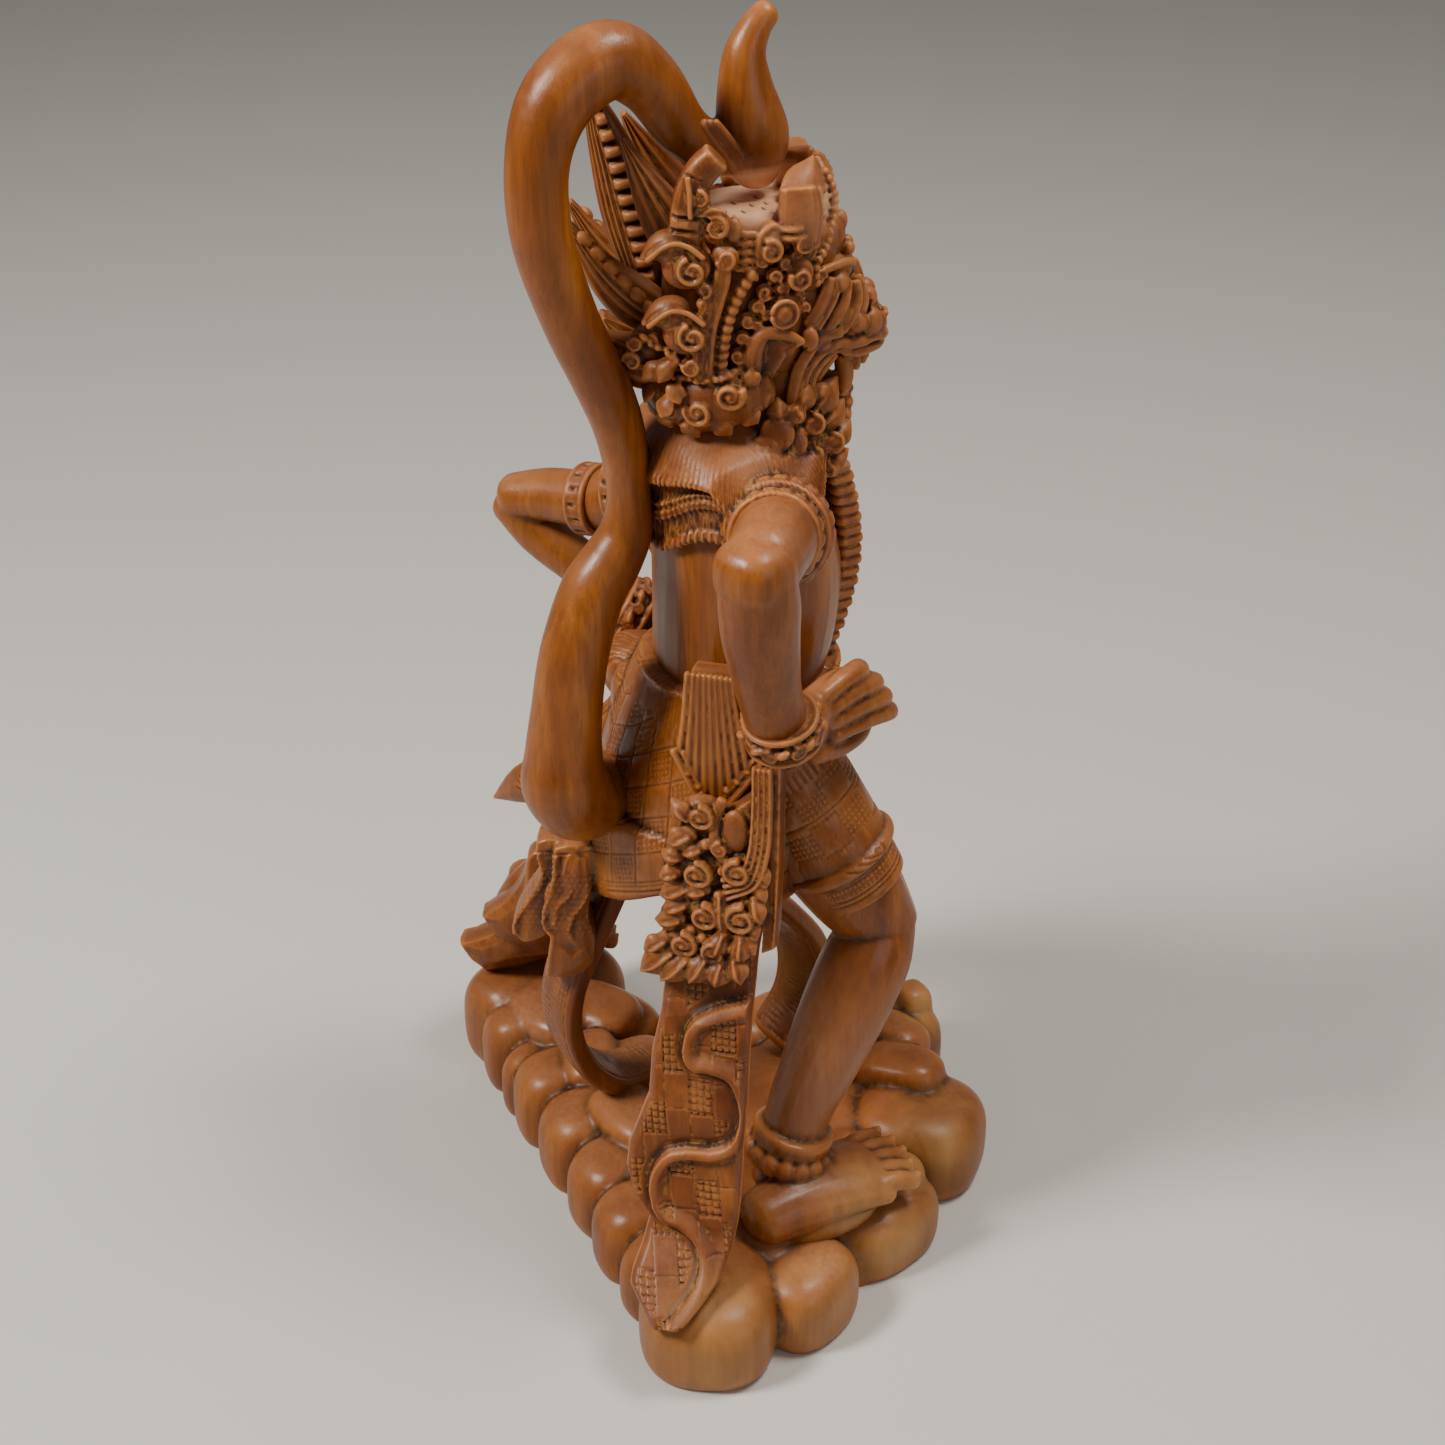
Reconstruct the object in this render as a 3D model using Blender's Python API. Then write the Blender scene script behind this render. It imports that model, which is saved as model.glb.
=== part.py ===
"""A standing Hanuman figure carved with its boulder base from one block of wood.

Lengths below are carving millimetres for a figure HEIGHT metres tall; the whole is scaled at the end.
The figure faces -Y, its right hand is towards -X, and its underside lies on Z = 0.
"""

import math

import bpy
import numpy as np

HEIGHT = 0.500
DRAWN_HEIGHT = 500.0
UNIT = HEIGHT / DRAWN_HEIGHT
VOXEL = 1.5
TRIANGLES = 9200
SMOOTHING_ROUNDS = 3
TAU = 2.0 * math.pi

# Driving sizes, in carving millimetres
TORSO_WIDTH = 38.0
TORSO_DEPTH = 33.0
TAIL_RADIUS = 11.0
SASH_WIDTH = 20.0
SASH_THICKNESS = 7.0
HEAD_AT = (-22.0, 22.0, 394.0)
HEAD_TURN = -28.0
FINGER_REACHES = (0.96, 1.03, 1.0, 0.92)
TOE_COUNT = 5

shells = []


# Kit of shapes

def unit(vector):
    vector = np.asarray(vector, float)
    return vector / max(np.linalg.norm(vector), 1e-9)


def smooth(rows, steps):
    """A curve through the rows: centripetal where they are even, with every column carried along."""
    rows = np.asarray(rows, float)
    if len(rows) < 3:
        share = np.linspace(0.0, 1.0, steps + 1)[:, None]
        return rows[0] * (1.0 - share) + rows[-1] * share
    padded = np.vstack([2.0 * rows[0] - rows[1], rows, 2.0 * rows[-1] - rows[-2]])
    out = []
    for i in range(len(rows) - 1):
        a, b, c, d = padded[i:i + 4]
        for k in range(steps):
            t = k / steps
            out.append(0.5 * (2.0 * b + (c - a) * t + (2.0 * a - 5.0 * b + 4.0 * c - d) * t * t
                              + (3.0 * b - a - 3.0 * c + d) * t ** 3))
    out.append(rows[-1])
    return np.array(out)


def add(points, faces):
    shells.append((np.asarray(points, float), faces))


def ring_faces(rings, sides, first=0):
    faces = []
    for i in range(rings - 1):
        for j in range(sides):
            k = (j + 1) % sides
            a = first + i * sides
            faces.append((a + j, a + k, a + sides + k, a + sides + j))
    return faces


def tube(stations, side=(1.0, 0.0, 0.0), sides=18, steps=5, power=2.0, cap=0.7):
    """A closed limb: rows of x, y, z, half width along side, half depth across it."""
    rows = smooth(stations, steps)
    path = rows[:, :3]
    tangents = np.gradient(path, axis=0)
    angles = np.arange(sides) * TAU / sides
    shape_c = np.sign(np.cos(angles)) * np.abs(np.cos(angles)) ** (2.0 / power)
    shape_s = np.sign(np.sin(angles)) * np.abs(np.sin(angles)) ** (2.0 / power)
    domes = [(0.35, 0.93), (0.7, 0.7), (0.92, 0.38)]
    rings = []

    def ring(centre, s, n, w, d):
        rings.append(centre + np.outer(shape_c * w, s) + np.outer(shape_s * d, n))

    frames = []
    for tangent in tangents:
        t = unit(tangent)
        s = unit(np.asarray(side, float) - t * np.dot(side, t))
        frames.append((t, s, np.cross(t, s)))
    for out, shrink in reversed(domes):
        t, s, n = frames[0]
        w, d = rows[0, 3], rows[0, 4]
        ring(path[0] - t * out * cap * min(w, d), s, n, w * shrink, d * shrink)
    for i, (t, s, n) in enumerate(frames):
        ring(path[i], s, n, rows[i, 3], rows[i, 4])
    for out, shrink in domes:
        t, s, n = frames[-1]
        w, d = rows[-1, 3], rows[-1, 4]
        ring(path[-1] + t * out * cap * min(w, d), s, n, w * shrink, d * shrink)
    points = np.vstack(rings)
    faces = ring_faces(len(rings), sides)
    faces.append(tuple(reversed(range(sides))))
    last = (len(rings) - 1) * sides
    faces.append(tuple(range(last, last + sides)))
    add(points, faces)


def turned(points, yaw=0.0, pitch=0.0, roll=0.0):
    """Roll about Y, then pitch about X, then yaw about Z, in degrees."""
    y, p, r = (math.radians(v) for v in (yaw, pitch, roll))
    about_z = np.array([[math.cos(y), -math.sin(y), 0], [math.sin(y), math.cos(y), 0], [0, 0, 1]])
    about_x = np.array([[1, 0, 0], [0, math.cos(p), -math.sin(p)], [0, math.sin(p), math.cos(p)]])
    about_y = np.array([[math.cos(r), 0, math.sin(r)], [0, 1, 0], [-math.sin(r), 0, math.cos(r)]])
    return np.asarray(points, float) @ (about_z @ about_x @ about_y).T


def lobe(centre, radii, yaw=0.0, pitch=0.0, roll=0.0, power=2.0, flat=2.0, sides=20, rows=12):
    """A closed rounded block; power squares its plan and flat squares its profile."""
    rings = []
    for i in range(1, rows):
        up = -math.pi / 2.0 + math.pi * i / rows
        c, s = math.cos(up), math.sin(up)
        level = math.copysign(abs(s) ** (2.0 / flat), s)
        reach = c ** (2.0 / flat)
        a = np.arange(sides) * TAU / sides
        x = np.sign(np.cos(a)) * np.abs(np.cos(a)) ** (2.0 / power) * reach
        y = np.sign(np.sin(a)) * np.abs(np.sin(a)) ** (2.0 / power) * reach
        rings.append(np.stack([x, y, np.full(sides, level)], axis=1))
    points = np.vstack(rings + [np.array([[0.0, 0.0, -1.0], [0.0, 0.0, 1.0]])]) * np.asarray(radii, float)
    points = turned(points, yaw, pitch, roll) + np.asarray(centre, float)
    faces = ring_faces(rows - 1, sides)
    low, high = len(points) - 2, len(points) - 1
    top = (rows - 2) * sides
    for j in range(sides):
        k = (j + 1) % sides
        faces.append((k, j, low))
        faces.append((top + j, top + k, high))
    add(points, faces)


def leaf(base, tip, side, width, thickness, curl=(0.0, 0.0, 0.0), fullest=0.45, steps=8, power=1.6):
    """A pointed leaf from base to tip, bowed by curl, its breadth along side."""
    base, tip, curl = (np.asarray(v, float) for v in (base, tip, curl))
    rows = []
    for i in range(steps + 1):
        t = i / steps
        centre = base * (1.0 - t) + tip * t + curl * math.sin(math.pi * t)
        swell = 0.12 + 0.88 * math.sin(math.pi * t ** (math.log(0.5) / math.log(fullest)))
        if t > fullest:
            swell = max(0.10, swell)
        else:
            swell = max(0.7, swell)
        rows.append((*centre, width * swell, thickness * (0.5 + 0.5 * swell)))
    tube(rows, side, sides=12, steps=1, power=power)


def hook(base, out, up, size, thickness, side, turn=1.25):
    """A flame-shaped curl: leaves along out and bends over towards up, tapering to a blunt tip."""
    base, out, up = np.asarray(base, float), unit(out), unit(up)
    rows = []
    count = 7
    for i in range(count):
        t = i / (count - 1)
        angle = turn * math.pi * 0.5 * t
        along = size * math.sin(angle)
        rise = size * (1.0 - math.cos(angle))
        centre = base + out * along + up * rise
        rows.append((*centre, thickness * (1.0 - 0.35 * t), thickness * (1.25 - 0.75 * t)))
    tube(rows, side, sides=12, steps=2, power=2.4)


def scroll(centre, axis, start, radius, width, turns=1.2, hand=1.0, depth=1.0):
    """A raised spiral roll round a bead."""
    centre, axis = np.asarray(centre, float), unit(axis)
    x = unit(np.asarray(start, float) - axis * np.dot(start, axis))
    y = np.cross(axis, x) * hand
    rows = []
    count = max(8, int(turns * 12))
    for i in range(count + 1):
        t = i / count
        angle = t * turns * TAU
        reach = radius * (1.0 - 0.72 * t)
        p = centre + (x * math.cos(angle) + y * math.sin(angle)) * reach
        rows.append((*p, width * (1.0 - 0.45 * t), width * depth * (1.0 - 0.3 * t)))
    tube(rows, axis, sides=8, steps=1)
    ball(centre + axis * width * 0.3, radius * 0.3)


def ball(centre, radius):
    lobe(centre, (radius, radius, radius), sides=12, rows=8)


def slab(outline, origin, across, upward, thickness, swell=0.0):
    """A closed plate with the outline drawn along across and upward, thickness each way of its middle."""
    origin, across, upward = np.asarray(origin, float), unit(across), unit(upward)
    normal = np.cross(across, upward)
    flat = np.array([origin + across * u + upward * v for u, v in outline])
    middle = flat.mean(axis=0)
    count = len(flat)
    inner = middle + (flat - middle) * 0.86
    points = np.vstack([
        inner - normal * thickness,
        flat - normal * thickness * 0.6,
        flat + normal * thickness * 0.6,
        inner + normal * thickness,
        [middle - normal * (thickness + swell)],
        [middle + normal * (thickness + swell)],
    ])
    faces = ring_faces(4, count)
    low, high = len(points) - 2, len(points) - 1
    for j in range(count):
        k = (j + 1) % count
        faces.append((k, j, low))
        faces.append((3 * count + j, 3 * count + k, high))
    add(points, faces)


# Base of overlapping boulders

def base():
    """Boulder rows: x, y, length along the row's yaw, breadth, top, yaw. Each runs down past the underside."""
    middle = [(-58, 66, 58, 38, 33, 0), (-5, 66, 56, 34, 34, 0), (46, 74, 46, 26, 34, 0),
              (84, 68, 32, 28, 38, 20), (-66, 15, 44, 38, 32, 10), (-22, 8, 46, 40, 34, 0),
              (0, -25, 28, 38, 33, 10), (-36, -34, 36, 24, 32, -25), (-6, -56, 20, 22, 34, 10)]
    rim = [(-104, 94, 30, 29, 36, -35), (-111, 51, 20, 17, 32, 75), (-101, 9, 27, 16, 29, 78),
           (-63, -34, 30, 28, 37, 40), (-33, -45, 20, 18, 36, 20), (-12, -63, 15, 13, 42, 30),
           (6, -68, 15, 16, 38, 60), (20, -46, 14, 18, 34, 15), (30, -16, 16, 20, 33, 10),
           (42, 16, 18, 18, 31, 40), (66, 44, 20, 16, 33, 20), (100, 48, 20, 20, 40, 5),
           (113, 80, 17, 18, 44, 10), (92, 88, 18, 15, 42, -15), (66, 91, 20, 16, 38, 12),
           (42, 93, 19, 16, 39, -20), (18, 95, 18, 15, 37, 15), (-8, 96, 19, 15, 38, -18),
           (-34, 99, 19, 15, 35, 12), (-60, 101, 20, 16, 37, -8)]
    top = [(-40, -40, 20, 13, 46, 35), (-20, -50, 16, 11, 46, 20), (-7, -68, 9, 8, 50, 0),
           (40, 84, 18, 13, 45, -10), (-8, 86, 22, 12, 44, 8), (66, 64, 20, 16, 43, 30),
           (18, 62, 24, 20, 41, 0), (-46, 84, 20, 13, 42, -12)]
    for x, y, length, breadth, height, yaw in middle:
        lobe((x, y, 6), (length, breadth, height - 6), yaw, power=2.6, flat=3.0)
    for x, y, length, breadth, height, yaw in rim:
        lobe((x, y, height * 0.42), (length, breadth, height * 0.58), yaw, power=2.3, flat=2.5)
    for x, y, length, breadth, height, yaw in top:
        lobe((x, y, height - 14), (length, breadth, 14), yaw, power=2.8, flat=2.6)


# Trunk, neck, arms and legs

def trunk():
    w, d = TORSO_WIDTH, TORSO_DEPTH
    tube([(-13, 34, 200, w * 1.12, d * 1.1), (-14, 32, 228, w * 1.02, d),
          (-15, 31, 250, w * 0.94, d * 0.95), (-16, 28, 276, w, d * 1.02),
          (-17, 28, 300, w * 1.05, d * 1.02), (-17, 33, 322, w * 1.08, d * 0.9),
          (-18, 36, 338, w * 0.8, d * 0.72), (-20, 32, 352, w * 0.5, d * 0.58),
          (-21, 27, 372, w * 0.45, d * 0.52)], steps=4, sides=28)


def limb(rows, side=(1.0, 0.0, 0.0)):
    tube(rows, side, sides=20, steps=4)


def arms():
    limb([(-38, 34, 322, 15, 16), (-58, 38, 330, 15, 16), (-74, 50, 337, 15, 15),
          (-88, 63, 338, 13.5, 13.5)], (0, 0, 1))
    lobe((-91, 68, 337), (13.5, 13, 12), yaw=20, power=2.6, flat=2.6)
    limb([(-91, 67, 338, 13.5, 13.5), (-88, 62, 324, 14.8, 14.5), (-85, 59, 306, 12, 12),
          (-82, 55, 288, 11.2, 11.2), (-79, 51, 266, 11, 11)])
    limb([(8, 42, 306, 15, 16), (30, 46, 308, 14, 14), (50, 57, 301, 11.5, 12),
          (68, 67, 298, 10.5, 11), (80, 77, 295, 9, 9)], (0, 0, 1))
    limb([(83, 77, 291, 8.5, 9), (73, 69, 279, 9.5, 9.5), (60, 57, 267, 9.5, 9.5),
          (52, 50, 257, 9.5, 9), (45, 43, 250, 10, 9)], (0, 0, 1))
    hand((-79, 47, 263), (-63, -5, 257), 1.0)
    hand((45, 42, 249), (30, -12, 247), -1.0)


def hand(wrist, tips, sign):
    wrist, tips = np.asarray(wrist, float), np.asarray(tips, float)
    along = tips - wrist
    palm = wrist + along * 0.35
    tube([(*wrist, 9.5, 10), (*(wrist + along * 0.2), 9, 12.5), (*(wrist + along * 0.45), 8, 14),
          (*(wrist + along * 0.6), 6.5, 13)], (1, 0, 0), sides=16, steps=3)
    for i, reach in enumerate(FINGER_REACHES):
        lift = 11.5 - i * 6.2
        start = palm + np.array([0.0, 0.0, lift * 0.8])
        end = wrist + along * reach + np.array([0.0, 0.0, lift])
        bend = np.array([-5.0 * sign, 0.0, 1.5])
        middle = (start + end) * 0.5 + bend
        tube([(*start, 4, 3.9), (*middle, 4, 3.9), (*end, 3.4, 3.3)], (1, 0, 0), sides=10, steps=4)
    thumb = palm + np.array([0.0, 0.0, -7.0])
    end = wrist + along * 0.92 + np.array([-3.0 * sign, 0.0, -12.0])
    tube([(*thumb, 4.5, 4.5), (*((thumb + end) * 0.5 + np.array([-3.0 * sign, 0, -2.0])), 4.5, 4.2),
          (*end, 3.6, 3.4)], (1, 0, 0), sides=10, steps=4)


def legs():
    limb([(-36, 28, 204, 24, 24), (-49, 16, 190, 21, 22), (-61, 3, 166, 19.5, 19.5), (-67, -7, 148, 15, 15)])
    limb([(-67, -6, 149, 14.5, 15), (-70, 1, 138, 17, 18), (-72, 9, 126, 17.5, 18), (-74, 18, 111, 17, 17),
          (-75, 27, 94, 15, 15.5), (-75, 35, 76, 13, 14), (-76, 40, 58, 12, 13), (-77, 44, 46, 12, 14)])
    limb([(12, 30, 202, 26, 26), (36, 18, 184, 24, 23), (58, 8, 164, 20, 20), (72, 6, 150, 16, 16)])
    limb([(72, 6, 151, 15.5, 16), (78, 18, 134, 15, 17), (90, 44, 106, 13, 16),
          (103, 70, 82, 11.5, 14), (108, 74, 62, 11, 13)])
    leaf((104, 66, 92), (110, 92, 73), (0.5, 0, 1), 12, 8, fullest=0.3)
    foot((-88, 56, 44), (-106, -20, 39))
    foot((113, 88, 52), (110, 30, 44))
    leaf((112, 70, 55), (114, 100, 56), (1, 0, 0), 12, 9, fullest=0.3)


def foot(heel, toe):
    heel, toe = np.asarray(heel, float), np.asarray(toe, float)
    along = toe - heel
    across = unit(np.cross(along, (0, 0, 1)))
    tube([(*heel, 11, 12), (*(heel + along * 0.22 + (0, 0, 4)), 13, 15),
          (*(heel + along * 0.5 + (0, 0, 2)), 15, 12), (*(heel + along * 0.78), 18, 8)],
         across, sides=18, steps=4)
    for i in range(TOE_COUNT):
        shift = (i - (TOE_COUNT - 1) / 2.0) * 6.6
        start = heel + along * 0.66 + across * shift * 0.75
        end = heel + along * (1.06 - 0.03 * abs(i - 1.5)) + across * shift
        lift = np.array([0.0, 0.0, 3.0])
        tube([(*start, 4.0, 4.5), (*((start + end) * 0.5 + lift), 3.9, 4.2), (*end, 3.4, 3.4)],
             across, sides=10, steps=3)


def anklets():
    for centre, radius in (((-76, 40, 59), 16.5), ((105, 68, 78), 15.5)):
        count = 12
        tilt = 18.0
        for i in range(count):
            a = TAU * i / count
            place = turned([[math.cos(a) * radius, math.sin(a) * radius, 0.0]], 0, tilt)[0]
            ball(np.asarray(centre) + place, 4.6)
        rows = []
        for i in range(count + 1):
            a = TAU * i / count
            place = turned([[math.cos(a) * radius * 0.92, math.sin(a) * radius * 0.92, 8.0]], 0, tilt)[0]
            rows.append((*(np.asarray(centre) + place), 3.2, 3.2))
        tube(rows, (0, 0, 1), sides=8, steps=2)


def bracelet(centre, direction, radius, width, count):
    """A band across a limb with a row of round bosses."""
    centre, t = np.asarray(centre, float), unit(direction)
    s = unit(np.cross(t, (0.3, 0.5, 0.9)))
    n = np.cross(t, s)
    tube([(*(centre - t * width), radius, radius), (*(centre + t * width), radius, radius)],
         s, sides=20, steps=2, cap=0.2)
    for i in range(count):
        a = TAU * i / count
        ball(centre + (s * math.cos(a) + n * math.sin(a)) * radius, width * 0.62)


# Tail

def tail():
    r = TAIL_RADIUS
    rows = [(-14, 50, 208, 1.3), (-13, 76, 200, 1.5), (-13, 97, 203, 1.58), (-13, 105, 218, 1.58),
            (-13, 104, 234, 1.34), (-13, 102, 252, 1.22), (-13, 98, 275, 1.17), (-13, 90, 298, 1.1),
            (-13, 81, 310, 1.0), (-13, 75, 321, 0.86), (-13, 74, 338, 0.72), (-13, 77, 360, 0.82),
            (-13, 84, 380, 0.89), (-13, 94, 403, 0.9), (-13, 103, 432, 0.95), (-13, 104, 458, 0.97),
            (-13, 96, 478, 1.12), (-13, 78, 488, 1.15), (-13, 63, 479, 0.98), (-13, 51, 462, 0.84),
            (-13, 40, 454, 0.75), (-15, 28, 449, 0.66)]
    tube([(x, y, z, r * k, r * k) for x, y, z, k in rows], (1, 0, 0), sides=22, steps=5)
    tuft = [(-15, 25, 444, 0.78), (-15, 23, 454, 1.0), (-15, 26, 463, 1.04), (-15, 28, 474, 0.84),
            (-15, 28, 484, 0.65), (-15, 24, 492, 0.5), (-15, 20, 496, 0.44)]
    tube([(x, y, z, r * k, r * k) for x, y, z, k in tuft], (1, 0, 0), sides=18, steps=5, cap=0.7)


# Head and crown

def placed(points):
    """From the head's own axes (facing -Y, origin at its middle) to the figure's."""
    return turned(points, HEAD_TURN) + np.asarray(HEAD_AT)


def head_place(x, y, z):
    return placed([[x, y, z]])[0]


def head_way(x, y, z):
    return turned([[x, y, z]], HEAD_TURN)[0]


def head_lobe(x, y, z, rx, ry, rz, yaw=0.0, pitch=0.0, power=2.0, flat=2.0):
    lobe(head_place(x, y, z), (rx, ry, rz), HEAD_TURN + yaw, pitch, power=power, flat=flat)


def head():
    head_lobe(0, -2, -4, 24, 27, 28)
    head_lobe(0, -24, -9, 16, 16, 12, power=2.3)
    head_lobe(0, -37, -7, 10, 6, 7)
    head_lobe(0, -34, 0, 8, 7, 5)
    head_lobe(0, -19, -26, 13, 15, 6, pitch=-10)
    head_lobe(0, -25, 13, 20, 8, 6)
    for s in (-1, 1):
        head_lobe(s * 10, -26, 5, 6.5, 7, 6)
        head_lobe(s * 16, -16, -8, 8, 13, 11)
        head_lobe(s * 7, -33, -4, 5, 4, 4)
        head_lobe(s * 14, -26, -15, 4, 9, 4)
        tube([(*head_place(s * 11, -31, -13), 2.4, 2.4), (*head_place(s * 11.5, -33, -24), 1.2, 1.2)],
             (1, 0, 0), sides=8, steps=3)
        tube([(*head_place(s * 26, 0, -12), 3, 6), (*head_place(s * 29, 4, -2), 3.5, 8),
              (*head_place(s * 30, 9, 9), 2.5, 5)], head_way(1, 0, 0), sides=12, steps=3)


def crown():
    head_lobe(0, 10, 6, 31, 31, 31, power=2.3, flat=2.6)
    head_lobe(0, 2, 30, 27, 27, 13, power=2.4, flat=3.5)
    head_lobe(0, -6, 20, 26, 22, 8, power=2.2, flat=2.6)
    head_lobe(0, 16, -20, 30, 25, 8, power=2.2)
    curls = 7
    for i in range(curls):
        a = math.radians(-170.0 + 160.0 * i / (curls - 1) + 175.0)
        x, y = math.sin(a - math.pi / 2.0) * 31.0, 12.0 + math.cos(a - math.pi / 2.0) * 30.0
        head_scroll(x, y, -18, 7.5, 2.2)
    for level, reach, size, count in ((2, 33, 8, 5), (20, 30, 8, 5)):
        for i in range(count):
            a = math.radians(-10.0 + 200.0 * i / (count - 1))
            head_scroll(math.cos(a) * reach, 8 + math.sin(a) * reach, level, size, 2.2)
    for s in (-1, 1):
        head_tube([(s * 24, 22, 26, 7, 7), (s * 27, 33, 27, 6, 7), (s * 28, 40, 33, 2.5, 3)], 2.4)
        head_tube([(s * 25, 22, 3, 7, 7), (s * 27, 34, 5, 6, 7), (s * 28, 41, 12, 2.5, 3)], 2.4)
        head_tube([(s * 19, -8, 36, 5, 5), (s * 18, -8, 50, 5, 4.5)], 3.0)
        head_tube([(s * 31, 6, 22, 4.5, 5), (s * 33, 4, 38, 3.5, 4)], 2.4)
        head_tube([(s * 12, -20, 32, 5, 4), (s * 13, -20, 43, 3.5, 3)], 2.4)
    head_tube([(-31, 26, 34, 6, 6.5), (-31, 27, 50, 5, 6), (-29, 21, 66, 5, 6)], 3.0)
    head_tube([(0, -22, 30, 7, 5), (0, -21, 42, 6, 4), (2, -17, 49, 3, 3)], 2.4)


def head_tube(rows, power=2.0, side=(1, 0, 0), steps=4):
    """A tube given in the head's own axes."""
    world = [(*head_place(*row[:3]), row[3], row[4]) for row in rows]
    tube(world, head_way(*side), sides=12, steps=steps, power=power, cap=0.25)


def head_scroll(x, y, z, radius, width):
    out = head_way(x, y - 8.0, 0.0)
    scroll(head_place(x, y, z), out, (0, 0, 1), radius, width, 1.0, 1.0 if x > 0 else -1.0)


def wings():
    """The tall back wing stands in the head's middle plane, with a lower spike and a curl to each side."""
    def blade(base, tip, side, width, thickness, curl, fullest):
        leaf(head_place(*base), head_place(*tip), head_way(*side), width, thickness, head_way(*curl), fullest)
    blade((0, 36, 16), (0, 60, 79), (0, 1, -0.45), 13, 5, (0, 0, -1), 0.28)
    for s in (-1, 1):
        blade((s * 9, 34, 2), (s * 11, 68, 38), (0, 0.8, -0.7), 9, 5, (0, 2, -4), 0.3)
        blade((s * 14, 32, -14), (s * 8, 56, -4), (0, 0.5, -1), 10, 7, (0, 2, -2), 0.4)
        blade((s * 22, 26, 28), (s * 15, 49, 67), (0, 1, -0.5), 9, 4, (0, 0, -2), 0.3)


# Collar, armlets and belt

def collar():
    tube([(-20, 33, 358, 20, 19), (-19, 37, 346, 33, 25), (-18, 38, 334, 46, 28),
          (-18, 38, 326, 50, 29)], steps=4, sides=28, cap=0.25)
    tube([(-18, 36, 328, 48, 27), (-17, 36, 315, 46, 29), (-17, 35, 306, 41, 29)], steps=3, sides=28, cap=0.25)
    for x, y, z, way in ((-66, 43, 335, (-18, 14, 7)), (34, 48, 311, (22, 12, -6))):
        bracelet((x, y, z), way, 20.5, 6.0, 12)
        bracelet((x + way[0] * 0.55, y + way[1] * 0.55, z + way[2] * 0.55), way, 17.5, 3.5, 12)
    leaf((-48, 29, 334), (-42, 9, 368), (0.5, 0.85, 0), 13, 7, (-5, 3, 2), 0.5)
    leaf((10, 27, 328), (4, 4, 360), (0.6, -0.8, 0), 13, 7, (5, 3, 2), 0.5)
    bosses = 8
    for i in range(bosses):
        t = i / (bosses - 1)
        for s in (-1, 1):
            lobe((-17 + s * (18 - 6 * t), 2 - 9 * math.sin(math.pi * t) + 2 * t, 338 - 82 * t), (6, 5, 5.5))
    bracelet((-79, 49, 264), (-3, 5, 18), 13.0, 6.0, 10)
    bracelet((45, 43, 250), (8, 10, 7), 12.0, 5.0, 10)


# Skirt, belt tongue, pendant and sashes

def skirt():
    tube([(-15, 32, 252, 38, 34), (-14, 35, 236, 43, 37), (-13, 39, 214, 48, 40), (-11, 42, 192, 51, 41),
          (-9, 44, 174, 50, 40)], steps=4, sides=30, power=2.2, cap=0.15)
    tube([(-38, 27, 222, 23, 23), (-45, 20, 208, 23, 23), (-52, 14, 195, 22, 22), (-58, 8, 182, 21.5, 21.5)],
         steps=4, sides=24, cap=0.15)
    tube([(16, 26, 222, 26, 30), (30, 20, 204, 28, 29), (46, 13, 186, 26, 26), (56, 8, 174, 23, 23)],
         steps=4, sides=24, cap=0.15)
    tube([(-12, 72, 196, 34, 7), (-8, 80, 172, 32, 6), (-4, 84, 152, 28, 5)], (1, 0, 0), steps=3, power=3.0)
    tube([(-15, 29, 255, 38, 37), (-15, 29, 249, 39, 38), (-15, 30, 243, 38, 37)], steps=2, sides=28, cap=0.2)


TONGUE_FACING = (-0.72, 0.69, 0.0)


def tongue():
    across = np.cross((0, 0, 1), TONGUE_FACING)
    outline = [(-14, 22), (-15, 6), (-14, -10), (-8, -20), (0, -27), (8, -20), (14, -10), (15, 6), (14, 22)]
    slab(outline, (-49, 58, 248), across, (-0.08, 0.1, 1), 5.0, 0.8)
    lobe((18, 58, 232), (15, 9, 15), yaw=-35)
    lobe((27, 52, 237), (15, 14, 13), yaw=-35, flat=2.6)
    leaf((24, 58, 226), (36, 64, 188), (0.8, -0.5, 0), 11, 6, (3, 3, 0), 0.45)
    leaf((34, 62, 184), (88, 89, 151), (0.4, 0, 1), 10, 5, (2, 4, 3), 0.5)


def pendant():
    facing = np.asarray(TONGUE_FACING)
    across = np.cross((0, 0, 1), facing)
    places = [(-7, 214, 8), (8, 208, 8), (-4, 198, 9), (9, 192, 8), (-10, 183, 8), (4, 178, 9),
              (-3, 166, 8), (10, 168, 7), (-9, 158, 7)]
    slab([(-13, 30), (-16, 5), (-13, -22), (0, -34), (13, -22), (16, 5), (13, 30)],
         (-58, 64, 190), across, (0, 0, 1), 6.0, 2.0)
    for u, z, radius in places:
        scroll(np.array((-58, 64, z)) + across * u + facing * 6.0, facing, (0, 0, 1), radius, 2.2,
               1.0, 1.0 if u > 0 else -1.0)
    for u, drop in ((-10, 26), (1, 30), (11, 24)):
        start = np.array((-59, 66, 172)) + across * u
        leaf(start, start + np.array((-2, 4, -drop)) + across * u * 0.2, across, 8, 5, fullest=0.4)


def sash_place(t):
    """Middle of the long sash at share t of its fall, from the pendant to the boulder it rests on."""
    rows = smooth([(-66, 74, 168), (-70, 79, 140), (-78, 86, 104), (-85, 91, 76), (-92, 95, 52),
                   (-99, 99, 30)], 10)
    at = t * (len(rows) - 1)
    i = min(int(at), len(rows) - 2)
    return rows[i] * (1.0 - at + i) + rows[i + 1] * (at - i)


SASH_FACING = (-0.80, 0.60, 0.0)


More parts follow.
